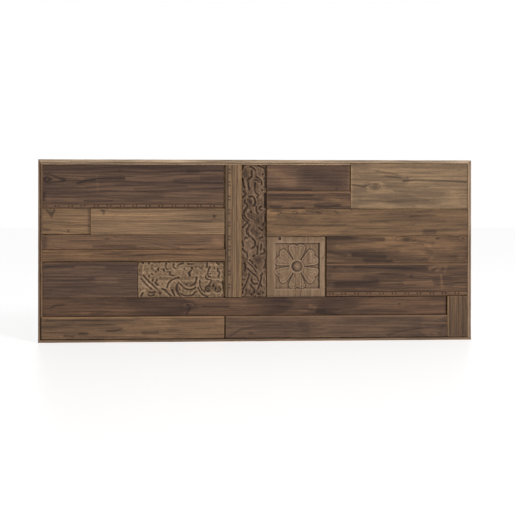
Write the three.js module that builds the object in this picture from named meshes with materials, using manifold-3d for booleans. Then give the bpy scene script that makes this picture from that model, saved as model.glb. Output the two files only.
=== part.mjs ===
// Bed headboard: reclaimed planks, a beaded batten and three carved panels glued to a plywood board
// inside a thin mitred frame. A bevelled cleat on the back hooks over a matching cleat on the wall.
// Millimetres. X runs along the headboard, Y from the front (-) to the wall (+), Z up.
// The origin is on the floor, in the middle of the headboard's width and depth.

import * as THREE from "three";
import { ConvexGeometry } from "three/addons/geometries/ConvexGeometry.js";
import { mergeVertices } from "three/addons/utils/BufferGeometryUtils.js";
import Module from "manifold-3d";

// ---------------------------------------------------------------- driving dimensions
const WIDTH = 1600;
const HEIGHT = 670;
const DEPTH = 52;
const TOP_RAIL = 11; // thickness of each frame member, seen from the front
const BOTTOM_RAIL = 10;
const LEFT_STILE = 7;
const RIGHT_STILE = 12;
const PLYWOOD = 9;
const BACK_BATTEN = 16; // depth of every batten on the back
const TOUCH = 0.3; // gap kept between two pieces that touch
const EDGE_WEAR = 1.4; // chamfer on a plank's worn front edges

// Beaded moulding: a half-round, notched so that short beads alternate with long ones.
const BEAD_PITCH = 47.2;
const SHORT_BEAD = 12;
const BEAD_RADIUS = 6;
const NOTCH_WIDTH = 2;

// ---------------------------------------------------------------- planes and edges worked out from them
const WALL = DEPTH / 2;
const PLY_BACK = WALL - BACK_BATTEN - TOUCH;
const PLY_FRONT = PLY_BACK - PLYWOOD;
const PLANK_BACK = PLY_FRONT - TOUCH;
const OUTER = WIDTH / 2;
const INNER_LEFT = -OUTER + LEFT_STILE;
const INNER_RIGHT = OUTER - RIGHT_STILE;
const INNER_TOP = HEIGHT - TOP_RAIL;

// The field of planks. Laths fill the space beside it, on the left and along the top.
const LATH_LEFT = INNER_LEFT + 1.6;
const SIDE_LATH = 5.4;
const TOP_LATH = 7;
const LATH_DEPTH = 22;
const FIELD_LEFT = LATH_LEFT + SIDE_LATH + TOUCH;
const FIELD_RIGHT = INNER_RIGHT - 0.8;
const FIELD_TOP = INNER_TOP - 8;
const FIELD_BOTTOM = BOTTOM_RAIL + 2.4;
const FIELD_MIDDLE = 346; // right end of the top lath, where the tall corner plank starts
const PANEL_BOTTOM = 163.5; // foot of the beaded batten and of the carved panels
const LOWEST_COURSE_TOP = 93;

// ---------------------------------------------------------------- materials
const wood = (color, roughness) => new THREE.MeshStandardMaterial({ color, roughness, metalness: 0 });
const paleWood = wood(0x8b7458, 0.7);
const midWood = wood(0x755c45, 0.7);
const darkWood = wood(0x54433a, 0.7);
const carvedWood = wood(0x8a7357, 0.8);
const frameWood = wood(0x98815f, 0.65);
const plyWood = wood(0xb08f66, 0.75);
const battenWood = wood(0xb99a6c, 0.75);
const steel = new THREE.MeshStandardMaterial({ color: 0x9a9a98, roughness: 0.35, metalness: 1 });

// ---------------------------------------------------------------- solids
const wasm = await Module();
wasm.setup();

function toSolid(geometry) {
  const bare = geometry.clone();
  bare.deleteAttribute("normal");
  bare.deleteAttribute("uv");
  const merged = mergeVertices(bare, 1e-4);
  return new wasm.Manifold(
    new wasm.Mesh({
      numProp: 3,
      vertProperties: merged.attributes.position.array,
      triVerts: new Uint32Array(merged.index.array),
    }),
  );
}

function toGeometry(solid) {
  const mesh = solid.getMesh();
  const geometry = new THREE.BufferGeometry();
  geometry.setAttribute("position", new THREE.BufferAttribute(mesh.vertProperties, 3));
  geometry.setIndex(new THREE.BufferAttribute(mesh.triVerts, 1));
  geometry.computeVertexNormals();
  return geometry;
}

const union = (geometries) => wasm.Manifold.union(geometries.map(toSolid));
const join = (geometries) => toGeometry(union(geometries));
const cut = (geometry, tools) => toGeometry(toSolid(geometry).subtract(union(tools)));

const pair = ([x, y]) => new THREE.Vector2(x, y);
const outline = (pairs) => new THREE.Shape(pairs.map(pair));

// A front outline in X and Z, `depth` thick. Its back lies `rise` in front of the local back plane.
function frontal(shape, depth, rise = 0) {
  const geometry = new THREE.ExtrudeGeometry(shape, { depth, bevelEnabled: false, curveSegments: 5 });
  return geometry.rotateX(Math.PI / 2).translate(0, -rise, 0);
}

// A cross-section of [distance in front of the back plane, height] points, run along X.
function alongX(section, length) {
  const shape = outline(section.map(([forward, up]) => [-forward, up]));
  const geometry = new THREE.ExtrudeGeometry(shape, { depth: length, bevelEnabled: false });
  const axes = [new THREE.Vector3(0, 1, 0), new THREE.Vector3(0, 0, 1), new THREE.Vector3(1, 0, 0)];
  return geometry.applyMatrix4(new THREE.Matrix4().makeBasis(...axes));
}

// A plain block from its lower back left corner.
const block = (width, depth, height) =>
  new THREE.BoxGeometry(width, depth, height).translate(width / 2, -depth / 2, height / 2);

// A plank from its lower back left corner, with its front edges chamfered.
function chamferedPlank(width, height, thickness) {
  const corners = [];
  for (const right of [0, 1]) {
    for (const up of [0, 1]) {
      const inX = right ? -EDGE_WEAR : EDGE_WEAR;
      const inZ = up ? -EDGE_WEAR : EDGE_WEAR;
      corners.push(new THREE.Vector3(right * width, 0, up * height));
      corners.push(new THREE.Vector3(right * width, -thickness + EDGE_WEAR, up * height));
      corners.push(new THREE.Vector3(right * width + inX, -thickness, up * height + inZ));
    }
  }
  return new ConvexGeometry(corners);
}

// The curve of a half-round bead that faces the front, from its lower edge to its upper one.
function beadArc(forward, up, radius) {
  const steps = 6;
  return Array.from({ length: steps + 1 }, (_, i) => {
    const turn = -Math.PI / 2 + (Math.PI * i) / steps;
    return [forward + radius * Math.cos(turn), up + radius * Math.sin(turn)];
  });
}

// Centres of evenly spaced short beads along a moulding, the first one at `first`.
function evenBeads(first, length) {
  const count = Math.ceil((length - first) / BEAD_PITCH);
  return Array.from({ length: count }, (_, i) => first + i * BEAD_PITCH);
}

// Places of the notches on both sides of every short bead.
function notchPlaces(beads, length) {
  const places = beads.flatMap((centre) => [centre - SHORT_BEAD / 2, centre + SHORT_BEAD / 2]);
  return places.filter((place) => place > NOTCH_WIDTH && place < length - NOTCH_WIDTH);
}

// A plank whose lower edge is worked into a beaded moulding.
function beadedPlank(width, height, thickness, firstBead) {
  const quirk = thickness - BEAD_RADIUS; // plane that the half-round stands on
  const centre = BEAD_RADIUS + 3.5;
  const shoulder = centre + BEAD_RADIUS + 2;
  const section = [
    [0, 0],
    [quirk, 0],
    ...beadArc(quirk, centre, BEAD_RADIUS),
    [quirk, shoulder - 1],
    [thickness, shoulder],
    [thickness, height - EDGE_WEAR],
    [thickness - EDGE_WEAR, height],
    [0, height],
  ];
  const notches = notchPlaces(evenBeads(firstBead, width), width).map((place) =>
    block(NOTCH_WIDTH, BEAD_RADIUS, 2 * BEAD_RADIUS + 1)
      .translate(place - NOTCH_WIDTH / 2, -quirk - BEAD_RADIUS / 2, centre - BEAD_RADIUS - 0.5));
  return cut(alongX(section, width), notches);
}

// ---------------------------------------------------------------- the assembly
const headboard = new THREE.Group();
headboard.name = "headboard";

function add(name, geometry, material, position) {
  const mesh = new THREE.Mesh(geometry, material);
  mesh.name = name;
  mesh.position.set(...position);
  headboard.add(mesh);
  return mesh;
}

// Frame: four boards on edge, mitred at the corners with a hairline gap.
function addFrame() {
  const gap = TOUCH * Math.SQRT2; // measured upright, so the mitre stands open by TOUCH
  const members = [
    ["top_rail", [[-OUTER, HEIGHT], [OUTER, HEIGHT], [INNER_RIGHT, INNER_TOP], [INNER_LEFT, INNER_TOP]]],
    ["bottom_rail", [[-OUTER, 0], [OUTER, 0], [INNER_RIGHT, BOTTOM_RAIL], [INNER_LEFT, BOTTOM_RAIL]]],
    ["left_stile", [
      [-OUTER, gap],
      [INNER_LEFT, BOTTOM_RAIL + gap],
      [INNER_LEFT, INNER_TOP - gap],
      [-OUTER, HEIGHT - gap],
    ]],
    ["right_stile", [
      [OUTER, gap],
      [INNER_RIGHT, BOTTOM_RAIL + gap],
      [INNER_RIGHT, INNER_TOP - gap],
      [OUTER, HEIGHT - gap],
    ]],
  ];
  for (const [name, corners] of members) {
    add(name, frontal(outline(corners), DEPTH), frameWood, [0, WALL, 0]);
  }
}

// Two laths close the space between the frame and the planks.
function addLaths() {
  const foot = LOWEST_COURSE_TOP + 1.4;
  const topLath = block(FIELD_MIDDLE - LATH_LEFT, LATH_DEPTH, TOP_LATH);
  const leftLath = block(SIDE_LATH, LATH_DEPTH, FIELD_TOP - 0.6 - foot);
  add("top_lath", topLath, paleWood, [LATH_LEFT, PLANK_BACK, FIELD_TOP + 0.6]);
  add("left_lath", leftLath, paleWood, [LATH_LEFT, PLANK_BACK, foot]);
}

// Planks by name: left, right, bottom and top edges, thickness, material, first bead of a moulding.
const PLANKS = [
  ["plank_left_top", FIELD_LEFT, -124.5, 490.3, FIELD_TOP, 18, darkWood, 5.5],
  ["plank_left_short", FIELD_LEFT, -611.4, 397.5, 489.3, 19, midWood],
  ["plank_left_pale", -610, -121.5, 395.5, 489.3, 23.5, paleWood],
  ["plank_left_middle", FIELD_LEFT, -123.5, 340.5, 394.3, 20, midWood],
  ["plank_left_narrow", FIELD_LEFT, -119.5, 297, 338.8, 24, midWood],
  ["plank_left_lower", FIELD_LEFT, -440.5, PANEL_BOTTOM, 294, 15, darkWood],
  ["plank_right_top", 37, 345, 555.5, FIELD_TOP, 16, darkWood],
  ["plank_right_second", 36, 347, 488.5, 554, 20.5, midWood],
  ["plank_right_corner", 349.5, FIELD_RIGHT, 491, INNER_TOP - 1.5, 22, paleWood],
  ["plank_right_wide", 36, FIELD_RIGHT, 388.8, 487.3, 23, midWood],
  ["plank_right_middle", 259, FIELD_RIGHT, 287.5, 387, 21, midWood],
  ["plank_right_beaded", 258, FIELD_RIGHT, 165, 286, 24, darkWood, 16],
  ["plank_lower_long", FIELD_LEFT, 708.5, 94.5, 161.5, 15, darkWood],
  ["plank_bottom_left", LATH_LEFT + 2.4, -122, FIELD_BOTTOM, LOWEST_COURSE_TOP, 22, midWood],
  ["plank_bottom_right", -116, 710.5, FIELD_BOTTOM, LOWEST_COURSE_TOP, 22.5, midWood],
  ["end_block", 711.8, FIELD_RIGHT, FIELD_BOTTOM, 163.3, 25, midWood],
];

function addPlanks() {
  for (const [name, left, right, bottom, top, thickness, material, firstBead] of PLANKS) {
    const size = [right - left, top - bottom, thickness];
    const geometry = firstBead === undefined ? chamferedPlank(...size) : beadedPlank(...size, firstBead);
    add(name, geometry, material, [left, PLANK_BACK, bottom]);
  }
}

// Upright batten: a beaded half-round on its left edge, then two flat reeds and a square right edge.
function addBeadedBatten() {
  const left = -117;
  const width = 58.5;
  const height = FIELD_TOP - PANEL_BOTTOM;
  const shoulder = 19.5;
  const beadCentre = 13;
  const beads = [40.5, 89.5, 140.5, 180, 218, 269, 315, 365, 418, 464]; // set out by eye, from the foot
  const reeds = [[26.5, 41], [42.5, 52]];
  const reedRise = 3.2;
  // An upright's section has X across it, so the arcs are turned: [across, distance in front].
  const arcAcross = (centre, forward, radius) => beadArc(forward, centre, radius).map(([f, a]) => [a, f]);
  const section = [
    [0, 0],
    [0, shoulder],
    ...arcAcross(beadCentre, shoulder - 1, BEAD_RADIUS - 0.5),
    [beadCentre + BEAD_RADIUS, shoulder],
    ...reeds.flatMap(([from, to]) => [
      [from, shoulder],
      [from + 1.5, shoulder + reedRise],
      [to - 1.5, shoulder + reedRise],
      [to, shoulder],
    ]),
    [width - 6, shoulder],
    [width - 5, 24.5],
    [width, 24.5],
    [width, 0],
  ].map(([across, forward]) => [across, -forward]);
  const batten = new THREE.ExtrudeGeometry(outline(section), { depth: height, bevelEnabled: false });
  const notches = notchPlaces(beads, height).map((place) =>
    block(2 * BEAD_RADIUS, BEAD_RADIUS, NOTCH_WIDTH)
      .translate(beadCentre - BEAD_RADIUS, -shoulder - 1, place - NOTCH_WIDTH / 2));
  add("beaded_batten", cut(batten, notches), paleWood, [left, PLANK_BACK, PANEL_BOTTOM]);
}

// ---------------------------------------------------------------- carved panels
// A raised rib along a smooth curve through the given X and Z points.
function rib(pairs, width, rise, height) {
  const curve = new THREE.SplineCurve(pairs.map(pair));
  const steps = pairs.length * 3;
  const left = [];
  const right = [];
  for (let i = 0; i <= steps; i++) {
    const t = i / steps;
    const centre = curve.getPoint(t);
    const along = curve.getTangent(t);
    const half = (width / 2) * (0.35 + 0.65 * Math.sin(Math.PI * Math.min(1, 0.15 + t * 0.85)));
    left.push(new THREE.Vector2(centre.x - along.y * half, centre.y + along.x * half));
    right.unshift(new THREE.Vector2(centre.x + along.y * half, centre.y - along.x * half));
  }
  return frontal(new THREE.Shape([...left, ...right]), height, rise);
}

// A round eye at the heart of a scroll.
const eye = (x, z, radius, rise, height) =>
  new THREE.CylinderGeometry(radius, radius * 0.6, height, 10)
    .translate(0, -height / 2 - rise, 0)
    .translate(x, 0, z);

const SINK = 1; // how far a rib is set into its panel

// Lying scroll panel, by the lower left corner of its front.
function addLyingScrollPanel() {
  const left = -438;
  const width = 314;
  const height = 129.5;
  const ground = 13;
  const relief = 5;
  const ribs = [
    [[113, 30], [116, 49], [129, 63], [146, 64], [161, 49], [176, 38], [195, 34], [214, 41]],
    [[221, 76], [223, 52], [227, 36], [240, 22], [263, 11]],
    [[214, 34], [203, 22], [193, 12]],
    [[258, 90], [251, 80], [253, 71], [264, 66], [282, 66], [304, 60]],
    [[291, 50], [304, 42], [309, 28], [300, 10]],
    [[23, 70], [41, 52], [58, 36]],
    [[43, 66], [60, 51], [77, 38]],
    [[18, 121], [19, 100], [28, 82]],
    [[75, 118], [73, 102], [84, 88], [100, 80]],
    [[128, 116], [133, 104], [150, 98], [170, 100]],
    [[200, 118], [190, 106], [184, 92], [190, 78]],
    [[132, 40], [140, 30], [139, 14]],
  ];
  const eyes = [[152, 27], [259, 31], [271, 32], [296, 26], [261, 80], [278, 104], [52, 63], [104, 56]];
  const pieces = [
    block(width, ground, height),
    ...ribs.map((curve) => rib(curve, 8, ground - SINK, relief + SINK)),
    ...eyes.map(([x, z]) => eye(x, z, 5, ground - SINK, relief + SINK)),
  ];
  add("carved_scroll_panel_lying", join(pieces), carvedWood, [left, PLANK_BACK, PANEL_BOTTOM]);
}

// Upright scroll panel: one vine that winds from side to side, with leaves and scroll eyes.
function addUprightScrollPanel() {
  const left = -57;
  const width = 90.5;
  const height = FIELD_TOP - PANEL_BOTTOM;
  const ground = 10;
  const relief = 5;
  const ribs = [
    [[7, 462], [9, 478], [24, 483], [42, 480], [54, 466], [52, 452]],
    [[44, 466], [42, 448], [34, 438], [25, 428]],
    [[8, 438], [11, 420], [15, 400]],
    [[57, 446], [70, 438], [77, 422], [72, 404], [60, 396]],
    [[48, 424], [46, 404], [52, 388], [62, 378]],
    [[20, 369], [38, 370], [50, 357], [49, 342]],
    [[38, 346], [18, 334], [11, 312], [16, 296], [30, 280], [50, 276], [74, 290]],
    [[57, 330], [57, 316], [68, 310], [80, 318]],
    [[36, 264], [24, 252], [22, 236], [34, 222], [47, 208], [51, 192], [38, 176]],
    [[58, 250], [68, 242], [80, 244]],
    [[4, 182], [22, 166], [26, 146], [24, 128]],
    [[64, 190], [62, 172], [74, 160]],
    [[30, 130], [46, 112], [58, 96]],
    [[26, 100], [44, 84], [60, 66], [76, 60]],
    [[26, 92], [20, 60], [8, 32], [6, 10]],
    [[38, 60], [46, 40], [44, 16]],
    [[72, 50], [78, 30], [68, 12]],
  ];
  const eyes = [
    [30, 304], [73, 320], [18, 209], [60, 418], [24, 406],
    [66, 270], [70, 116], [18, 128], [24, 20],
  ];
  const pieces = [
    block(width, ground, height),
    ...ribs.map((curve) => rib(curve, 7, ground - SINK, relief + SINK)),
    ...eyes.map(([x, z]) => eye(x, z, 4.5, ground - SINK, relief + SINK)),
  ];
  add("carved_scroll_panel_upright", join(pieces), carvedWood, [left, PLANK_BACK, PANEL_BOTTOM]);
}

// Rosette tile: a sunk square with six heart-shaped petals round a ring and a stud.
function addRosetteTile() {
  const left = 37;
  const width = 215.5;
  const height = 387 - PANEL_BOTTOM;
  const thickness = 17;
  const sunk = 5;
  const ground = thickness - sunk;
  const centre = [111, 112];
  const petals = 6;
  const recess = new THREE.Path([[27.5, 29], [27.5, 199], [195.5, 199], [195.5, 29]].map(pair));
  const border = outline([[0, 0], [width, 0], [width, height], [0, height]]);
  border.holes.push(recess);

  const petal = new THREE.Shape();
  petal.moveTo(-8, 25);
  petal.bezierCurveTo(-12, 40, -28, 48, -30, 62);
  petal.bezierCurveTo(-32, 78, -13, 90, 0, 74);
  petal.bezierCurveTo(13, 90, 32, 78, 30, 62);
  petal.bezierCurveTo(28, 48, 12, 40, 8, 25);

  const ring = new THREE.Shape().absarc(0, 0, 27, 0, 2 * Math.PI);
  ring.holes.push(new THREE.Path().absarc(0, 0, 18, 0, 2 * Math.PI));
  const stud = new THREE.CylinderGeometry(9, 6, sunk + SINK, 6).translate(0, -ground - (sunk - SINK) / 2, 0);

  const flower = [
    frontal(ring, sunk + SINK - 0.4, ground - SINK),
    stud.translate(0, 0.4, 0),
    ...Array.from({ length: petals }, (_, i) =>
      frontal(petal, sunk + SINK - 1, ground - SINK).rotateY((2 * Math.PI * i) / petals)),
  ].map((piece) => piece.translate(centre[0], 0, centre[1]));
  const pieces = [block(width, ground, height), frontal(border, thickness - 1, 1), ...flower];
  add("carved_rosette_tile", join(pieces), carvedWood, [left, PLANK_BACK, PANEL_BOTTOM]);
}

// ---------------------------------------------------------------- back
const STIFFENER_WIDTH = 60;
const STIFFENER_FOOT = 96;
const STIFFENER_HEAD = 440;
const SPACER_FOOT = 40;
const SPACER_HEAD = 92;
const CLEAT_TIP = 540; // lowest edge of the cleat, on the wall side
const CLEAT_TOP = 620;
const CROSS_BATTEN_REACH = 740; // half the length of the cleat and of the spacer
const STIFFENER_PLACES = [["left", -500], ["centre", 0], ["right", 500]];

function addBack() {
  const slack = 0.5;
  const boardWidth = INNER_RIGHT - INNER_LEFT - 2 * slack;
  const boardHeight = INNER_TOP - BOTTOM_RAIL - 2 * slack;
  const board = block(boardWidth, PLYWOOD, boardHeight);
  add("backing_board", board, plyWood, [INNER_LEFT + slack, PLY_BACK, BOTTOM_RAIL + slack]);

  // The cleat's lower edge is bevelled at 45 degrees, so its tip hangs away from the board.
  const rise = CLEAT_TOP - CLEAT_TIP;
  const cleat = [[0, 0], [BACK_BATTEN, BACK_BATTEN], [BACK_BATTEN, rise], [0, rise]];
  const length = 2 * CROSS_BATTEN_REACH;
  add("hanging_cleat", alongX(cleat, length), battenWood, [-CROSS_BATTEN_REACH, WALL, CLEAT_TIP]);

  const spacer = block(length, BACK_BATTEN, SPACER_HEAD - SPACER_FOOT);
  add("lower_spacer", spacer, battenWood, [-CROSS_BATTEN_REACH, WALL, SPACER_FOOT]);

  for (const [side, x] of STIFFENER_PLACES) {
    const stiffener = block(STIFFENER_WIDTH, BACK_BATTEN, STIFFENER_HEAD - STIFFENER_FOOT);
    add(`stiffener_${side}`, stiffener, battenWood, [x - STIFFENER_WIDTH / 2, WALL, STIFFENER_FOOT]);
  }
}

// ---------------------------------------------------------------- screws and nails
// Radii, and lengths along the axis, of each fastener.
const SCREW = { length: 32, point: 4, shank: 1.9, head: 4.2, neck: 3, rim: 0.6 };
const NAIL = { length: 34, point: 2, shank: 1.1, head: 2.5, rim: 1 };
const OPEN_END = 3; // how far a bored hole runs on past the surface

// A countersunk screw that points along -Y, its head's top at the origin, `more` thicker all over.
function screw(more = 0) {
  const { length, point, shank, head, neck, rim } = SCREW;
  const wide = head + more;
  const thin = shank + more;
  const profile = [[0, -length - more], [thin, point - length], [thin, -neck], [wide, -rim], [wide, 0]];
  return turned(more ? [...profile, [wide, OPEN_END], [0, OPEN_END]] : [...profile, [0, 0]]);
}

// A nail that points along -Y, its head's top at the origin, `more` thicker all over.
function nail(more = 0) {
  const { length, point, shank, head, rim } = NAIL;
  const end = more ? OPEN_END : 0;
  const under = -rim - more; // underside of the head
  const wide = head + more;
  const thin = shank + more;
  const shaft = [[0, -length - more], [thin, point - length], [thin, under]];
  return turned([...shaft, [wide, under], [wide, end], [0, end]]);
}

const turned = (profile) => new THREE.LatheGeometry(profile.map(pair), 8);

const CROSS_SCREW_PLACES = [-700, -430, -180, 150, 450, 695];
const STIFFENER_SCREW_HEIGHTS = [130, 415];
const CLEAT_SCREW_HEIGHT = 588;
const SPACER_SCREW_HEIGHT = (SPACER_FOOT + SPACER_HEAD) / 2;
const HEAD_SUNK = 0.4; // how far a screw or nail head lies under the surface
const NAIL_DEPTHS = [-14, 14];

function fastenerPlaces() {
  const screws = [];
  CROSS_SCREW_PLACES.forEach((x, i) => {
    screws.push([`cleat_screw_${i + 1}`, x, CLEAT_SCREW_HEIGHT]);
    screws.push([`spacer_screw_${i + 1}`, x, SPACER_SCREW_HEIGHT]);
  });
  for (const [side, x] of STIFFENER_PLACES) {
    STIFFENER_SCREW_HEIGHTS.forEach((z, i) => screws.push([`stiffener_${side}_screw_${i + 1}`, x, z]));
  }
  const nails = [];
  for (const [side, sign] of [["left", -1], ["right", 1]]) {
    for (const [level, z] of [["bottom", BOTTOM_RAIL / 2], ["top", HEIGHT - TOP_RAIL / 2]]) {
      NAIL_DEPTHS.forEach((y, i) => nails.push([`${side}_${level}_nail_${i + 1}`, sign, y, z]));
    }
  }
  return { screws, nails };
}

// Drives every fastener: bores its hole through each piece in its way, then adds it.
function addFasteners() {
  const { screws, nails } = fastenerPlaces();
  const driven = [
    ...screws.map(([name, x, z]) => ({ name, shape: screw, turn: 0, at: [x, WALL - HEAD_SUNK, z] })),
    ...nails.map(([name, sign, y, z]) => ({
      name,
      shape: nail,
      turn: (-sign * Math.PI) / 2,
      at: [sign * (OUTER - HEAD_SUNK), y, z],
    })),
  ];
  const pieces = [...headboard.children];
  for (const piece of pieces) {
    piece.geometry.computeBoundingBox();
    const reach = piece.geometry.boundingBox.clone().translate(piece.position);
    const tools = driven
      .map(({ shape, turn, at }) => shape(TOUCH).rotateZ(turn).translate(...at))
      .filter((tool) => {
        tool.computeBoundingBox();
        return tool.boundingBox.intersectsBox(reach);
      })
      .map((tool) => tool.translate(-piece.position.x, -piece.position.y, -piece.position.z));
    if (tools.length) piece.geometry = cut(piece.geometry, tools);
  }
  for (const { name, shape, turn, at } of driven) {
    add(name, shape(), steel, at).rotation.z = turn;
  }
}

addFrame();
addLaths();
addPlanks();
addBeadedBatten();
addLyingScrollPanel();
addUprightScrollPanel();
addRosetteTile();
addBack();
addFasteners();

export default headboard;
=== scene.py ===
"""A bed headboard of reclaimed planks with a beaded batten and three carved insets, in a thin frame.

Every board is one mesh made here: a fine grid over its face, with worn edges, a body behind it, and
fields of knots, stains and wear on its points that its wood material reads. Shapes are worked out in
millimetres from the boxes of the CAD nodes, and turned to metres when a mesh is made.
"""

import math
from dataclasses import dataclass, field

import bpy
import numpy as np
from mathutils import Matrix, Vector


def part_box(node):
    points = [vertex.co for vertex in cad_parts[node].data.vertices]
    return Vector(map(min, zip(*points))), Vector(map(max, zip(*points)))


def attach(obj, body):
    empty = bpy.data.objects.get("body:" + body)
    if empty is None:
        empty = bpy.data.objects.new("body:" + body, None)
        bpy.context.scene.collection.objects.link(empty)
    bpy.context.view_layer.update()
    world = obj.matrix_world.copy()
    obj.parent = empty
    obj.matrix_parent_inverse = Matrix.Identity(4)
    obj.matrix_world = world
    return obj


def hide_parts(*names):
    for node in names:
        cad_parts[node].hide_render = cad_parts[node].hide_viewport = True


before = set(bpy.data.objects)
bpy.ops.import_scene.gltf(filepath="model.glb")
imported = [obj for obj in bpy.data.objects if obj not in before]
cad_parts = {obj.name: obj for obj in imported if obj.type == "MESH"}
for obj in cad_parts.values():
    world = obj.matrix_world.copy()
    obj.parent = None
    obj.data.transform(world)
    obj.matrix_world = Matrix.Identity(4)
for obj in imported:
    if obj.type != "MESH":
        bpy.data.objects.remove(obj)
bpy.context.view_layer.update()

MM = 0.001
FRONT = -1  # the way a board's face looks, along Y
BACK = 1


# ---------------------------------------------------------------- names and places
def number_of(name):
    """A number of its own for each name."""
    return sum(map(ord, name))


def box_mm(node):
    """Lowest and highest corner of a CAD node, in millimetres."""
    low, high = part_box(node)
    return np.array(low) / MM, np.array(high) / MM


def smoothstep(low, high, value):
    """0 below `low`, 1 above `high`, and smooth between."""
    t = np.clip((value - low) / (high - low), 0, 1)
    return t * t * (3 - 2 * t)


def bell(value, width):
    """1 where the value is 0, 0.37 at `width` from it, and near 0 at twice that."""
    return np.exp(-((value / width) ** 2))


def ripple(x, z, wave, seed, waves=8):
    """Smooth seeded noise, mostly between -1 and 1, with waves about `wave` mm long."""
    random = np.random.default_rng(seed)
    total = 0
    for _ in range(waves):
        heading, start = random.uniform(0, 2 * np.pi, 2)
        pace = 2 * np.pi / (wave * random.uniform(0.55, 1.7))
        total = total + np.sin(pace * (x * np.cos(heading) + z * np.sin(heading)) + start)
    return total / math.sqrt(waves)


def distance_to_line(x, z, points):
    """Distance from each place to a line through the given points, or to one point."""
    if len(points) == 1:
        return np.hypot(x - points[0][0], z - points[0][1])
    nearest = np.full(np.shape(x), 1e6)
    for (x0, z0), (x1, z1) in zip(points[:-1], points[1:]):
        run, rise = x1 - x0, z1 - z0
        t = np.clip(((x - x0) * run + (z - z0) * rise) / (run * run + rise * rise), 0, 1)
        nearest = np.minimum(nearest, np.hypot(x - x0 - t * run, z - z0 - t * rise))
    return nearest


def curve_through(points, steps=5):
    """A smooth line through the points (Catmull-Rom), with `steps` short pieces between two of them."""
    points = np.array(points, float)
    if len(points) < 3:
        return points
    ends = np.vstack([2 * points[0] - points[1], points, 2 * points[-1] - points[-2]])
    line = []
    for before, start, end, after in zip(ends, ends[1:], ends[2:], ends[3:]):
        for t in np.arange(steps) / steps:
            bend = 2 * before - 5 * start + 4 * end - after
            turn = 3 * (start - end) + after - before
            line.append(start + 0.5 * t * (end - before + t * (bend + t * turn)))
    return np.array([*line, points[-1]])


# ---------------------------------------------------------------- what each board looks like
@dataclass
class Look:
    """How a board's wood looks. Lengths are in millimetres."""

    colour: tuple  # mean colour, sRGB 0 to 255
    slot: str
    grain: str = "X"
    spacing: float = 5.0  # between two growth rings
    pith: tuple = (0, 45)  # heart of the tree: aside of the board's middle, and along Y from its face
    tilt: float = 0.0  # how far the heart moves along Y for each 1 along the grain
    rings: float = 0.30  # how dark the growth rings are
    fibre: float = 0.9  # how strong the fibres and streaks are
    blotch: float = 0.55  # how strong the broad stains are
    wear: float = 1.0  # how pale the worn edges are
    knots: list = field(default_factory=list)  # (x, z, radius, stretch along the grain)
    strokes: list = field(default_factory=list)  # (tone, half width, points): below 0 dark, above pale


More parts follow.
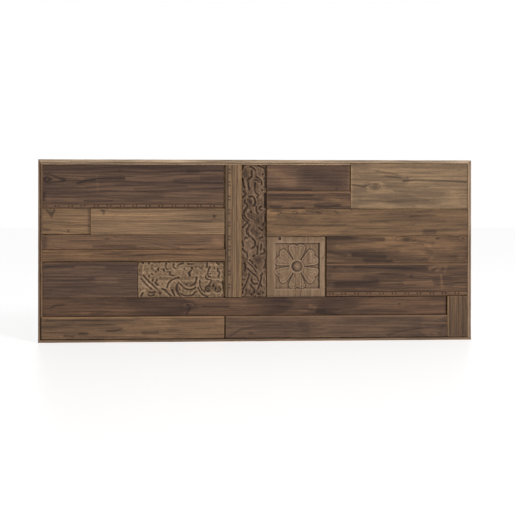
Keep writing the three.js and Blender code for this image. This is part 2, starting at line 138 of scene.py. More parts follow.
# Mean colours, and where the knots, stains, cracks, scratches and worn spots of each board are.
# Some strokes are painted shadows, shade and highlights, marked where they stand.
LOOKS = {
    "plank_left_top": Look(
        (90, 72, 62), "dark_plank", spacing=9, pith=(18, 30), rings=0.24,
        knots=[(-703, 593, 2.4, 1.6)],
        strokes=[
            (-1.1, 2.8, [(-781, 598), (-774, 604), (-762, 603), (-757, 597), (-763, 590), (-775, 589),
                         (-781, 598)]),
            (0.5, 3, [(-767, 597)]), (0.6, 5, [(-745, 597), (-728, 595)]),
            (-0.9, 2.8, [(-778, 616), (-760, 614), (-742, 608), (-728, 603), (-708, 597)]),
            (-0.9, 2.8, [(-778, 586), (-762, 583), (-742, 587), (-716, 589), (-704, 592)]),
            (-1.1, 3, [(-659, 583), (-621, 594), (-582, 600), (-540, 602), (-488, 601)]),
            (-0.6, 2.4, [(-488, 589), (-416, 585), (-305, 586), (-121, 584)]),
            (0.55, 7, [(-483, 606), (-350, 603), (-216, 603)]), (0.4, 5, [(-690, 606), (-640, 602)]),
            (-0.45, 3, [(-520, 575), (-400, 577), (-260, 573)]),
            (-0.5, 3, [(-450, 563), (-350, 566), (-230, 562), (-126, 565)]),
            (-0.3, 13, [(-780, 636), (-450, 640), (-130, 636)]), (-0.6, 6, [(-505, 630)]),
            (-0.6, 7, [(-255, 628), (-218, 628)]), (0.5, 2, [(-190, 625), (-172, 625)]),
            (0.6, 10, [(-770, 524), (-700, 522), (-668, 519)]), (-0.6, 6, [(-780, 545), (-780, 525)]),
            (0.35, 4, [(-588, 611), (-585, 550)]), (-0.7, 2.4, [(-634, 518), (-533, 518)]),
            (0.4, 18, [(-330, 540), (-230, 535)]), (0.4, 20, [(-240, 540), (-126, 530)]),
            (0.4, 9, [(-660, 516), (-126, 516)]),
        ],
    ),
    "plank_left_short": Look(
        (121, 97, 76), "brown_plank", spacing=4.5, pith=(-70, 60), rings=0.34, blotch=0.6,
        knots=[(-692, 407, 3, 1.2)],
        strokes=[
            (-0.9, 3, [(-771, 486), (-759, 472), (-752, 460)]), (-0.9, 3, [(-742, 485), (-750, 468)]),
            (-0.6, 2.4, [(-757, 485), (-753, 470)]), (-0.5, 4, [(-781, 415), (-760, 412)]),
            (-0.5, 5, [(-616, 485), (-616, 402)]),
        ],
    ),
    "plank_left_pale": Look(
        (129, 104, 82), "pale_plank", spacing=5, pith=(60, 55), rings=0.2, fibre=0.7, wear=1.2,
        knots=[(-159, 462, 4.6, 1.1), (-565, 481, 3, 2)],
        strokes=[
            (-0.9, 2.5, [(-572, 484), (-560, 478), (-565, 470)]), (-0.8, 3, [(-159, 462)]),
            (-0.25, 4, [(-480, 440), (-330, 446), (-170, 441)]), (-0.2, 8, [(-605, 484), (-125, 484)]),
        ],
    ),
    "plank_left_middle": Look(
        (108, 85, 69), "brown_plank", spacing=4, pith=(-30, 70), rings=0.14, fibre=0.7, blotch=0.3,
        knots=[(-551, 379, 3.6, 1.6), (-520, 388, 2.6, 1.4)],
        strokes=[
            (-0.5, 9, [(-778, 350), (-776, 384)]), (0.5, 13, [(-155, 374), (-135, 366)]),
            (0.7, 2.6, [(-283, 347), (-126, 347)]), (-0.4, 5, [(-600, 352), (-450, 350)]),
            (-0.3, 4, [(-690, 372), (-560, 366)]),
        ],
    ),
    "plank_left_narrow": Look(
        (105, 82, 65), "brown_plank", spacing=4, pith=(16, 30), rings=0.24,
        strokes=[(0.3, 12, [(-700, 318), (-620, 318)]), (-0.4, 3, [(-560, 322), (-420, 318)])],
    ),
    "plank_left_lower": Look(
        (87, 70, 61), "dark_plank", spacing=7, pith=(30, 40), rings=0.2,
        strokes=[
            (0.45, 12, [(-583, 225), (-523, 223)]), (0.7, 3, [(-688, 165), (-543, 165)]),
            # The pale band along the top edge, at z 293, is painted light over the shadow of the thicker
            # plank above.
            (1.0, 3.5, [(-780, 293), (-443, 293)]), (-0.4, 5, [(-553, 273), (-453, 273)]),
            (-0.5, 4, [(-772, 279), (-673, 276)]), (-0.4, 4, [(-770, 230), (-680, 226), (-600, 232)]),
        ],
    ),
    "plank_right_top": Look(
        (97, 77, 65), "dark_plank", spacing=8, pith=(10, 28), rings=0.2, fibre=0.7, blotch=0.3,
        strokes=[
            (0.7, 20, [(50, 622), (92, 606), (128, 590)]), (-0.8, 5, [(296, 564)]),
            (-0.6, 5, [(270, 578)]), (-0.45, 26, [(185, 618), (300, 585)]),
            # The pale line along the right edge, near x 343.5, is a painted highlight.
            (-0.5, 5, [(45, 562), (200, 560)]), (0.8, 3, [(343.5, 560), (343.5, 648)]),
            (-0.5, 3, [(150, 630), (250, 634), (340, 630)]),
        ],
    ),
    "plank_right_second": Look(
        (91, 72, 60), "dark_plank", spacing=5, pith=(-8, 24), rings=0.34,
        strokes=[
            # The strong pale line along the top edge, at z 550.6, is a painted highlight.
            (3, 2.6, [(38, 550.6), (345, 550.6)]), (-0.7, 3, [(48, 497), (87, 496)]),
            (-0.7, 3, [(127, 492), (172, 492)]), (-0.9, 3.2, [(214, 500), (260, 497), (307, 502)]),
            (-0.6, 5, [(42, 539), (205, 539)]), (-0.5, 3, [(42, 527), (166, 525), (250, 530)]),
            (0.6, 6, [(60, 512), (150, 516), (210, 512)]), (0.5, 10, [(280, 522), (345, 510)]),
            (0.4, 4, [(100, 500), (118, 500)]), (0.4, 3, [(180, 496), (205, 496)]),
        ],
    ),
    "plank_right_corner": Look(
        (122, 101, 81), "pale_plank", spacing=7, pith=(-14, 36), rings=0.2, tilt=0.02, fibre=0.7,
        blotch=0.35, wear=1.2,
        knots=[(439, 573, 8.5, 1.1), (560, 605, 2.4, 1.5)],
        strokes=[
            (-0.8, 2.6, [(350, 579), (372, 576), (395, 571), (420, 582)]),
            (-1.0, 3, [(546, 593), (591, 597), (649, 594), (706, 593), (784, 589)]),
            (-0.5, 3, [(443, 629), (523, 616)]), (-0.45, 3, [(477, 612), (569, 598)]),
            (-0.4, 3, [(512, 556), (580, 550), (700, 548)]), (0.4, 3, [(351, 495), (351, 655)]),
            (-0.35, 4, [(470, 575), (560, 570), (640, 572)]),
            (-0.4, 3, [(380, 520), (500, 517), (640, 520)]), (0.2, 22, [(730, 560), (745, 515)]),
            (0.25, 14, [(400, 520), (470, 515)]),
        ],
    ),
    "plank_right_wide": Look(
        (107, 85, 67), "brown_plank", spacing=6, pith=(12, 26), rings=0.2, tilt=0.02, fibre=0.75,
        blotch=0.3,
        strokes=[
            (-0.9, 2, [(48, 480), (70, 481), (86, 479), (89, 474), (80, 467), (72, 468)]),
            (-0.9, 2, [(130, 480), (146, 480), (150, 474), (143, 469)]), (-0.8, 3, [(134, 471)]),
            (-0.8, 2, [(184, 481), (201, 480), (212, 474)]), (-0.8, 3, [(218, 478), (236, 473)]),
            (-0.7, 3.4, [(288, 479), (300, 474)]), (-0.5, 2.2, [(236, 482), (288, 479)]),
            (-0.5, 2.2, [(92, 472), (130, 470), (180, 470)]), (0.4, 12, [(45, 480), (160, 482)]),
            (-0.55, 9, [(626, 402), (664, 403)]), (-0.4, 3, [(569, 460), (620, 466), (666, 465)]),
            (-0.45, 3, [(597, 478), (649, 480)]), (-0.35, 4, [(420, 440), (560, 446), (700, 440)]),
            (-0.35, 3, [(60, 430), (200, 426), (330, 430)]), (0.35, 12, [(60, 405), (300, 402)]),
        ],
    ),
    "plank_right_middle": Look(
        (102, 80, 64), "brown_plank", spacing=7, pith=(-16, 28), rings=0.3, tilt=-0.02,
        knots=[(557, 375, 6.5, 2.1), (674, 378, 3, 1.4), (770, 378, 3, 1.4), (360, 320, 3, 1.5)],
        strokes=[
            (-0.8, 5, [(400, 297), (500, 295)]), (-0.7, 7, [(262, 378), (380, 381), (470, 378)]),
            (-0.9, 6, [(358, 317), (421, 314), (477, 311)]), (-0.6, 13, [(671, 313), (740, 310)]),
            (-0.5, 6, [(262, 330), (330, 316)]), (-0.5, 5, [(580, 372), (660, 360)]),
            (0.6, 9, [(540, 332), (620, 328)]), (0.5, 10, [(300, 352), (480, 345), (640, 346)]),
            (0.4, 7, [(262, 300), (320, 295)]),
        ],
    ),
    "plank_right_beaded": Look(
        (87, 69, 58), "dark_plank", spacing=7, pith=(24, 32), rings=0.26, fibre=1.1,
        knots=[(287, 270, 3.4, 1.5), (575, 236, 4.6, 1.3)],
        strokes=[
            # The strong pale line along the top edge, at z 283.5, is a painted highlight.
            (2.4, 2.6, [(260, 283.5), (783, 283.5)]), (-0.45, 8, [(365, 273), (500, 270), (628, 270)]),
            (-0.6, 13, [(296, 206), (365, 210), (443, 215)]), (0.45, 8, [(281, 241), (391, 242)]),
            (1.3, 5, [(551, 212), (602, 215), (649, 219)]), (1.1, 8, [(600, 211), (652, 209)]),
            (1.6, 5, [(645, 266), (661, 272)]), (1.5, 5, [(670, 261), (683, 265)]),
            (1.3, 4, [(668, 277), (704, 279)]), (1.2, 4, [(687, 240), (692, 193)]),
            (0.8, 5, [(702, 256), (707, 277)]), (0.6, 8, [(740, 200), (775, 200)]),
        ],
    ),
    "plank_lower_long": Look(
        (88, 69, 58), "dark_plank", spacing=6, pith=(6, 24), rings=0.28, tilt=0.015,
        knots=[(-256, 134, 3.6, 1.5)],
        strokes=[
            (-0.8, 2.4, [(-755, 127), (-738, 136), (-710, 137)]), (0.6, 6, [(-643, 109), (-618, 106)]),
            (-0.9, 3, [(-257, 135), (-247, 128), (-252, 115), (-260, 102)]),
            (0.5, 14, [(-90, 145), (-50, 140)]), (-0.8, 2.6, [(-202, 129), (-105, 127)]),
            (0.8, 7, [(197, 128), (215, 123)]), (0.6, 3, [(155, 112), (185, 112)]),
            (-0.8, 4, [(221, 107), (249, 110)]), (-0.7, 4, [(532, 134)]),
            (0.5, 8, [(654, 131), (702, 135)]),
        ],
    ),
    "plank_bottom_left": Look(
        (108, 86, 69), "brown_plank", spacing=6, pith=(-10, 26), rings=0.34, tilt=-0.02, blotch=0.8,
        strokes=[
            # The pale line along the top edge, at z 91.5, is a painted highlight.
            (1.3, 3.4, [(-788, 91.5), (-450, 92), (-125, 91.5)]),
            (-0.5, 2.2, [(-772, 81), (-600, 82), (-453, 80)]), (-0.7, 4, [(-705, 24), (-673, 22)]),
            (-0.7, 4, [(-653, 32), (-623, 32)]), (-0.8, 2.6, [(-553, 41), (-523, 41), (-496, 50)]),
            (-0.5, 6, [(-418, 34), (-368, 34)]),
        ],
    ),
    "plank_bottom_right": Look(
        (91, 73, 62), "brown_plank", spacing=8, pith=(4, 18), rings=0.4, tilt=0.03,
        knots=[(-24, 29, 2.8, 1.3)],
        strokes=[
            # The pale line along the top edge, at z 91.5, is a painted highlight.
            (1.2, 3.2, [(-112, 91.5), (300, 92), (706, 91.5)]),
            (-0.5, 3, [(-100, 20), (-60, 45), (0, 55), (90, 60)]),
            (-0.5, 3, [(487, 20), (520, 30), (560, 38), (630, 46), (700, 50)]),
        ],
    ),
    "end_block": Look(
        (105, 84, 67), "brown_plank", grain="Z", spacing=6, pith=(20, 50), rings=0.2, fibre=0.7,
        strokes=[
            (0.8, 2.5, [(713.5, 15), (713.5, 160)]), (-0.7, 3, [(770, 20), (771, 90), (769, 160)]),
            (-0.5, 2.6, [(722, 20), (721, 160)]),
            *((-0.4, 1.6, [(x, 15), (x + 1, 160)]) for x in (716, 729, 736, 744, 752, 759, 765, 778)),
        ],
    ),
    # The four frame members are one wood. Their tones differ the way light from the upper right falls: the
    # top rail and right stile lighter, the left stile darker. This is partly painted light.
    "top_rail": Look((160, 137, 113), "frame_wood", spacing=3, pith=(30, 40), rings=0.2, wear=0.3),
    "bottom_rail": Look(
        (127, 104, 84), "frame_wood", spacing=3, pith=(30, 40), rings=0.2, wear=0.7,
        strokes=[(-0.7, 2.5, [(-790, 10), (790, 10)])],
    ),
    "left_stile": Look(
        (108, 86, 67), "frame_wood", grain="Z", spacing=3, pith=(30, 40), rings=0.25, wear=0.6,
        strokes=[(0.3, 3.0, [(-799.4, 0), (-799.4, 670)]), (0.8, 12, [(-798, 664)])],
    ),
    "right_stile": Look(
        (132, 109, 88), "frame_wood", grain="Z", spacing=3, pith=(30, 40), rings=0.25, wear=0.6,
        strokes=[(0.6, 2.5, [(788.5, 10), (788.5, 660)])],
    ),
    "top_lath": Look((137, 115, 97), "pale_plank", spacing=3, pith=(20, 30), rings=0.2),
    "left_lath": Look((110, 88, 72), "pale_plank", grain="Z", spacing=3, pith=(20, 30), rings=0.2),
    "beaded_batten": Look(
        (123, 100, 79), "pale_plank", grain="Z", spacing=6, pith=(40, 60), rings=0.15, fibre=0.7,
        wear=0.8,
        strokes=[
            *((-0.3, 1.5, [(x, 160), (x, 660)]) for x in (-91, -84, -76, -68)),
            # The pale line near x -61, on the raised right edge, is a painted highlight.
            (-0.35, 5, [(-110, 160), (-110, 660)]), (1.3, 2.4, [(-61, 160), (-61, 660)]),
        ],
    ),
    "carved_scroll_panel_lying": Look(
        (129, 105, 82), "carved_wood", spacing=5, pith=(60, 60), rings=0.12, fibre=0.7, blotch=0.8,
        strokes=[
            # Dark strokes are painted shade in the hollows; the one along the right edge, near x -125, is
            # the painted shadow of the batten. Pale strokes are painted light on raised parts.
            (-0.6, 9, [(-190, 192), (-168, 200), (-150, 194)]), (-0.8, 5, [(-126, 222), (-124, 185)]),
            (-0.5, 8, [(-308, 190), (-300, 205), (-290, 190)]), (-0.45, 7, [(-268, 212), (-235, 212)]),
            (-0.5, 5, [(-386, 222), (-370, 214)]), (-0.35, 10, [(-395, 180), (-355, 178)]),
            (-0.9, 5, [(-252, 253), (-249, 244)]), (-0.8, 4, [(-244, 274), (-238, 267)]),
            (-0.7, 6, [(-162, 211), (-151, 198)]), (0.5, 9, [(-168, 284), (-150, 280)]),
            (0.4, 12, [(-300, 262), (-270, 268)]), (0.35, 10, [(-420, 270), (-400, 262)]),
        ],
    ),
    "carved_scroll_panel_upright": Look(
        (105, 84, 67), "carved_wood", grain="Z", spacing=5, pith=(60, 60), rings=0.12, fibre=0.7,
        blotch=0.8,
        strokes=[
            # The dark band along the right edge, near x 30, is the painted shadow of the planks to its
            # right; the other dark strokes are painted shade in hollows, and the pale ones painted light on
            # raised parts.
            (-1.0, 4, [(30, 545), (30, 500)]), (-0.8, 3, [(32, 650), (32, 560)]),
            (-0.6, 3, [(32, 480), (32, 250)]), (-0.5, 10, [(-44, 625), (-36, 606)]),
            (-0.5, 8, [(-10, 600), (-8, 570)]), (-0.5, 9, [(-30, 520), (-20, 505)]),
            (-0.45, 12, [(-20, 465), (0, 445)]), (-0.4, 9, [(-20, 415), (0, 400)]),
            (-0.6, 6, [(20, 430), (24, 415)]), (-0.45, 10, [(-45, 300), (-48, 250)]),
            (-0.4, 12, [(-5, 300), (15, 300)]), (-0.5, 9, [(-40, 180), (10, 178)]),
            (0.5, 5, [(-48, 648), (-10, 648)]), (0.4, 8, [(0, 540), (20, 530)]),
            (0.35, 8, [(-20, 330), (-5, 335)]),
        ],
    ),
    "carved_rosette_tile": Look(
        (125, 102, 81), "carved_wood", grain="Z", spacing=6, pith=(90, 70), rings=0.16, fibre=0.45,
        strokes=[
            # The dark line near x 231 is the painted shadow on the right wall of the sunk square.
            (-0.8, 2.6, [(231, 361), (231, 194)]), (-0.6, 3, [(247, 309), (242, 305)]),
            (0.4, 6, [(246, 380), (247, 168)]), (-0.5, 4, [(243, 378), (246, 372)]),
            # The dark crescent left of the dish is the painted shadow of the stud.
            (-0.7, 3.5, [(136, 288), (131, 276), (136, 264)]),
        ],
    ),
}
PINE = Look(
    (196, 165, 120), "batten_pine", spacing=5, pith=(30, 50), rings=0.3, fibre=0.5, blotch=0.3, wear=0.4,
)
PINE_UPRIGHT = Look(
    (192, 160, 116), "batten_pine", grain="Z", spacing=5, pith=(24, 60), rings=0.3, fibre=0.5, blotch=0.3,
    wear=0.4,
)
PLYWOOD = Look(
    (183, 150, 108), "plywood", spacing=16, pith=(160, 8), rings=0.22, fibre=0.3, blotch=0.35, wear=0.3,
)


# ---------------------------------------------------------------- wood material
def linear(colour):
    """Scene-linear RGBA of an sRGB colour from 0 to 255."""
    share = np.array(colour) / 255
    return (*np.where(share < 0.04045, share / 12.92, ((share + 0.055) / 1.055) ** 2.4), 1.0)


def connect(tree, socket, value):
    """Links a field to a socket, or sets the socket to a number, colour or vector."""
    if isinstance(value, Field):
        tree.links.new(value.socket, socket)
    else:
        socket.default_value = value


class Field:
    """A shader value. Arithmetic on it adds Math nodes."""

    def __init__(self, tree, socket):
        self.tree = tree
        self.socket = socket

    def math(self, operation, *others):
        node = self.tree.nodes.new("ShaderNodeMath")
        node.operation = operation
        for socket, value in zip(node.inputs, (self, *others)):
            connect(self.tree, socket, value)
        return Field(self.tree, node.outputs[0])

    def __add__(self, other):
        return self.math("ADD", other)

    def __mul__(self, other):
        return self.math("MULTIPLY", other)

    def __sub__(self, other):
        return self.math("SUBTRACT", other)

    def __truediv__(self, other):
        return self.math("DIVIDE", other)

    __radd__ = __add__
    __rmul__ = __mul__

    def __rsub__(self, other):
        return self * -1 + other

    def step(self, low, high):
        """0 below `low`, 1 above `high`, and smooth between."""
        node = self.tree.nodes.new("ShaderNodeMapRange")
        node.interpolation_type = "SMOOTHSTEP"
        for name, value in (("Value", self), ("From Min", low), ("From Max", high)):
            connect(self.tree, node.inputs[name], value)
        return Field(self.tree, node.outputs["Result"])

    def mix(self, low, high):
        """The colour `low` where this is 0, and `high` where it is 1."""
        node = self.tree.nodes.new("ShaderNodeMix")
        node.data_type = "RGBA"
        for index, value in ((0, self), (6, low), (7, high)):
            connect(self.tree, node.inputs[index], value)
        return Field(self.tree, node.outputs[2])


def split(tree, vector):
    """The three parts of a vector, as fields."""
    node = tree.nodes.new("ShaderNodeSeparateXYZ")
    connect(tree, node.inputs[0], vector)
    return [Field(tree, socket) for socket in node.outputs]


def combine(tree, *parts):
    """A vector of three parts, as a field."""
    node = tree.nodes.new("ShaderNodeCombineXYZ")
    for socket, value in zip(node.inputs, parts):
        connect(tree, socket, value)
    return Field(tree, node.outputs[0])


def noise(tree, x, y, z, detail=2.0, roughness=0.5):
    """Noise around 0, mostly within 0.25 of it, with one wave for each 1 that x, y or z grows."""
    node = tree.nodes.new("ShaderNodeTexNoise")
    connect(tree, node.inputs["Vector"], combine(tree, x, y, z))
    node.inputs["Scale"].default_value = 1
    node.inputs["Detail"].default_value = detail
    node.inputs["Roughness"].default_value = roughness
    return Field(tree, node.outputs["Fac"]) - 0.5


def attribute(tree, name, output):
    """What a mesh's points carry under a name."""
    node = tree.nodes.new("ShaderNodeAttribute")
    node.attribute_name = name
    return Field(tree, node.outputs[output])


def new_material(name):
    """A material, its node tree and its shader."""
    material = bpy.data.materials.new(name)
    material.use_nodes = True
    return material, material.node_tree, material.node_tree.nodes["Principled BSDF"]


def add_bump(tree, shader, height, distance):
    """Bends the shader's normals by a height, `distance` metres for each 1 of it."""
    bump = tree.nodes.new("ShaderNodeBump")
    bump.inputs["Distance"].default_value = distance
    connect(tree, bump.inputs["Height"], height)
    tree.links.new(bump.outputs["Normal"], shader.inputs["Normal"])


UMBER = (0.032, 0.0195, 0.0175, 1)  # colour of dirt and shade in cracks, knots and cuts


def timber_group():
    """Sawn wood around a wandering heart: rings, fibres, pores, checks, knots, stains and worn edges."""
    tree = bpy.data.node_groups.new("timber", "ShaderNodeTree")
    kinds = {
        "NodeSocketVector": ["Place"],
        "NodeSocketFloat": [
            "Seed", "Spacing", "Pith Across", "Pith Deep", "Tilt", "Rings", "Fibre", "Blotch", "Wear",
        ],
        "NodeSocketColor": ["Dark", "Middle", "Pale"],
    }
    for kind, names in kinds.items():
        for name in names:
            tree.interface.new_socket(name, in_out="INPUT", socket_type=kind)
    tree.interface.new_socket("Colour", in_out="OUTPUT", socket_type="NodeSocketColor")
    tree.interface.new_socket("Roughness", in_out="OUTPUT", socket_type="NodeSocketFloat")
    tree.interface.new_socket("Height", in_out="OUTPUT", socket_type="NodeSocketFloat")
    inside = tree.nodes.new("NodeGroupInput")
    given = {socket.name: Field(tree, socket) for socket in inside.outputs if socket.name}

    along, across, deep = split(tree, given["Place"])
    seed = given["Seed"]
    along = along + seed * 3.17  # so that no two boards share a stretch of pattern
    bend = attribute(tree, "bend", "Fac")
    dark, pale, knot = split(tree, attribute(tree, "marks", "Vector"))
    # Per point: nearness to an edge, painted shade (hollows and joint sides, with some dirt) and painted
    # highlight (raised parts, with some wear).
    edge, dirt_and_shade, wear_and_highlight = split(tree, attribute(tree, "surface", "Vector"))

    # Distance from the heart of the tree, in metres, bent by knots and by slow growth.
    from_side = across - given["Pith Across"] + noise(tree, along * 1.6, seed, 0.0) * 0.06
    from_front = deep - given["Pith Deep"] - given["Tilt"] * along
    from_front = from_front + noise(tree, along * 1.2, 7.0, seed) * 0.05
    radius = (from_side * from_side + from_front * from_front).math("SQRT") + bend
    radius = radius + noise(tree, along * 5, across * 24, deep * 24) * 0.006

    phase = radius / given["Spacing"] + noise(tree, radius * 35, seed, along * 0.5) * 3
    turn = phase.math("FRACT")
    ring_number = tree.nodes.new("ShaderNodeTexWhiteNoise")
    ring_number.noise_dimensions = "1D"
    connect(tree, ring_number.inputs["W"], phase.math("FLOOR") + seed)
    weight = Field(tree, ring_number.outputs["Value"]) * 0.75 + 0.25
    late = turn.step(0.30, 0.86) * (1 - turn.step(0.88, 1.0)) * weight

    fibre = noise(tree, along * 6, radius * 420, across * 110 + deep * 110, 4.0, 0.6)
    bands = noise(tree, along * 1.5, radius * 60, across * 16, 2.0)
    streaks = noise(tree, along * 4.5, radius * 70 + across * 165, deep * 165 + seed, 2.0, 0.7)
    blotch = noise(tree, along * 3.2, across * 12, deep * 12, 3.0)
    pores = noise(tree, along * 60, radius * 2400, across * 800, 1.0).step(0.10, 0.2)
    speck = noise(tree, along * 220, across * 220, deep * 220, 2.0)

    # Short drying checks, dark and thin, in patches.
    check_line = noise(tree, along * 1.7, radius * 70, seed, 1.0).math("ABSOLUTE")
    check = (1 - check_line.step(0.0, 0.012)) * noise(tree, along * 2.4, across * 9, seed).step(0.06, 0.14)

    # Tone runs from 0, the dark colour, over 0.5, the mean colour, to 1, the pale one.
    soft = fibre * 1.6 + 1  # breaks up the edges of strokes
    worn = (edge * (0.62 + speck * 1.1 + fibre * 1.2)).step(0.28, 0.62) * given["Wear"]
    tone = (
        0.53
        - given["Rings"] * 1.3 * (late - 0.25)
        + given["Fibre"] * fibre
        + given["Fibre"] * bands * 0.5
        + given["Fibre"] * streaks * 1.4
        + given["Blotch"] * blotch
        - dark * soft * 0.75
        + pale * soft * 0.5
        + worn * 0.42
        # raised parts are lighter: painted highlight, with some wear
        + wear_and_highlight * 0.34
    )
    colour = (tone * 2).math("MINIMUM", 1.0).math("MAXIMUM", 0.0).mix(given["Dark"], given["Middle"])
    colour = (tone * 2 - 1).math("MINIMUM", 1.0).math("MAXIMUM", 0.0).mix(colour, given["Pale"])

    # A knot is a dark core with fine rings, in a dark halo.
    core = (knot + speck * 0.06 + fibre * 0.05).step(0.6, 0.7)
    knot_rings = (knot * 75).math("SINE") * 0.14
    halo = knot.step(0.15, 0.66) * 0.28
    shade = 1 - core * (0.58 + knot_rings) - (1 - core) * halo
    # Hollows and the sides of joints go towards umber: painted shade, with some dirt in them.
    shade = shade * (1 - pores * 0.3) * (1 - check * 0.6) * (1 - dirt_and_shade * 0.72)
    colour = shade.math("MAXIMUM", 0.0).mix(UMBER, colour)

    out = tree.nodes.new("NodeGroupOutput")
    roughness = 0.66 + fibre * 0.3 - worn * 0.1 - wear_and_highlight * 0.08 + dirt_and_shade * 0.1
    height = late * 0.35 + fibre * 1.1 - pores * 0.5 - check * 2.5 + speck * 0.35 - core * 0.6
    connect(tree, out.inputs["Colour"], colour)
    connect(tree, out.inputs["Roughness"], roughness.math("MINIMUM", 0.95))
    connect(tree, out.inputs["Height"], height)
    return tree


TIMBER = timber_group()
SHEEN = 0.014  # what a board's reflection of the white studio adds to its colour
DARK_WOOD, DARK_DIRT = 0.3, 0.35  # shares of the mean colour and of umber in the darkest wood
PLANK_PALE = (1.97, 1.95, 1.72)  # the palest fibres of a plank, against its mean colour
OTHER_PALE = 1.95
OTHER_GREY = 0.15  # how much greyer the palest fibres of the other boards are


def wood_material(name, look, middle, face):
    """Wood for one board. `middle` is the middle of its face, and `face` the place of the face along Y."""
    material, tree, shader = new_material(name)
    timber = tree.nodes.new("ShaderNodeGroup")
    timber.node_tree = TIMBER
    place = tree.nodes.new("ShaderNodeTexCoord")
    x, y, z = split(tree, Field(tree, place.outputs["Object"]))
    along, across = (x, z) if look.grain == "X" else (z, x)
    middle_along, middle_across = middle if look.grain == "X" else middle[::-1]
    connect(tree, timber.inputs["Place"], combine(tree, along - middle_along * MM, across, y))

    mean = np.maximum(np.array(linear(look.colour)[:3]) - SHEEN, 0.004)
    if "plank" in look.slot:
        pale = mean * PLANK_PALE
    else:
        pale = (mean * (1 - OTHER_GREY) + mean.mean() * OTHER_GREY) * OTHER_PALE
    values = {
        "Seed": number_of(name) % 89 + 1,
        "Spacing": look.spacing * MM,
        "Pith Across": (middle_across + look.pith[0]) * MM,
        "Pith Deep": (face + look.pith[1]) * MM,
        "Tilt": look.tilt,
        "Rings": look.rings,
        "Fibre": look.fibre,
        "Blotch": look.blotch,
        "Wear": look.wear,
        "Dark": (*(mean * DARK_WOOD + np.array(UMBER[:3]) * DARK_DIRT), 1),
        "Middle": (*mean, 1),
        "Pale": (*pale, 1),
    }
    for key, value in values.items():
        timber.inputs[key].default_value = value
    add_bump(tree, shader, Field(tree, timber.outputs["Height"]), 0.5 * MM)
    tree.links.new(timber.outputs["Colour"], shader.inputs["Base Color"])
    tree.links.new(timber.outputs["Roughness"], shader.inputs["Roughness"])
    shader.inputs["Specular IOR Level"].default_value = 0.2
    return material


# ---------------------------------------------------------------- boards
EDGE_LINES = np.array([0, 0.3, 0.7, 1.2, 1.9, 3.0])  # close lines, where an edge is rounded


def lines_along(length, step, extra=()):
    """Grid lines along a side: close together at both ends, and `step` apart between."""
    inner = length - 2 * EDGE_LINES[-1]
    middle = EDGE_LINES[-1] + np.linspace(0, inner, max(2, round(inner / step) + 1))
    lines = np.concatenate([EDGE_LINES, middle, length - EDGE_LINES, np.asarray(extra, float)])
    lines = np.unique(lines[(lines >= 0) & (lines <= length)].round(2))
    return lines[np.concatenate([[True], np.diff(lines) > 0.12])]


def quad_place(corners, s, t):
    """X and Z at shares s and t of a four-sided outline, given from its lower left corner round."""
    low_left, low_right, high_right, high_left = np.array(corners, float)
    low = low_left[:, None, None] * (1 - s) + low_right[:, None, None] * s
    high = high_left[:, None, None] * (1 - s) + high_right[:, None, None] * s
    return low * (1 - t) + high * t


def knot_fields(x, z, look):
    """How far knots bend the rings, in metres, and how near each place is to a knot, 1 at its heart."""
    bend = np.zeros(x.shape)
    near = np.zeros(x.shape)
    for knot_x, knot_z, radius, stretch in look.knots:
        along, across = (x - knot_x, z - knot_z) if look.grain == "X" else (z - knot_z, x - knot_x)
        reach_along, reach_across = 2.8 * radius * stretch, 1.6 * radius
        push = bell(along, reach_along) * bell(across, reach_across)
        bend += 1.3 * radius * MM * push
        near = np.maximum(near, 1 - np.hypot(along / stretch, across) / (3 * radius))
    return bend, near


def stroke_fields(x, z, look):
    """Dark and pale strokes of a board."""
    dark = np.zeros(x.shape)
    pale = np.zeros(x.shape)
    for tone, width, points in look.strokes:
        strength = abs(tone) * bell(distance_to_line(x, z, points), width)
        target = dark if tone < 0 else pale
        np.maximum(target, strength, out=target)
    return dark, pale


def make_mesh(name, points, faces, fields, flat=()):
    """A mesh from points in millimetres and a list of face index arrays. `fields` go on its points."""
    mesh = bpy.data.meshes.new(name)
    sizes = np.concatenate([np.full(len(group), group.shape[1]) for group in faces])
    corners = np.concatenate([group.ravel() for group in faces])
    mesh.vertices.add(len(points))
    mesh.vertices.foreach_set("co", (points * MM).astype(np.float32).ravel())
    mesh.loops.add(len(corners))
    mesh.loops.foreach_set("vertex_index", corners.astype(np.int32))
    mesh.polygons.add(len(sizes))
    mesh.polygons.foreach_set("loop_start", (np.cumsum(sizes) - sizes).astype(np.int32))
    smooth = np.ones(len(sizes), bool)
    smooth[list(flat)] = False
    mesh.polygons.foreach_set("use_smooth", smooth)
    for key, value in fields.items():
        kind = "FLOAT" if value.ndim == 1 else "FLOAT_VECTOR"
        made = mesh.attributes.new(key, kind, "POINT")
        made.data.foreach_set("value" if value.ndim == 1 else "vector", value.astype(np.float32).ravel())
    mesh.update(calc_edges=True)
    mesh.validate()
    return mesh


def add_object(name, data):
    made = bpy.data.objects.new(name, data)
    bpy.context.scene.collection.objects.link(made)
    return made


def add_piece(name, mesh, material, slot, *nodes):
    """An object that rides on the root body and replaces CAD nodes."""
    piece = add_object(name, mesh)
    if not mesh.materials:
        mesh.materials.append(material)
    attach(piece, "root")
    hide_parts(*nodes)
    return piece


EDGE_REACH = 2.6  # how far the wear of an edge reaches into the face
WALL_ROW = 6  # about how far apart the rows of points on a board's sides lie
CHAMFER = 0.6  # round the back


def wandering_place(a, b, outline, size, sway, seed):
    """X and Z of the places `a` along and `b` up an outline, its sides wandering inwards by `sway`."""
    width, height = size
    inset = [
        sway * (1 + ripple(b if side < 2 else a, side * 50.0, 70, seed + side)) / 2 for side in range(4)
    ]
    s = (a + inset[0] * (1 - a / width) - inset[1] * a / width) / width
    t = (b + inset[2] * (1 - b / height) - inset[3] * b / height) / height
    return quad_place(outline, s, t)


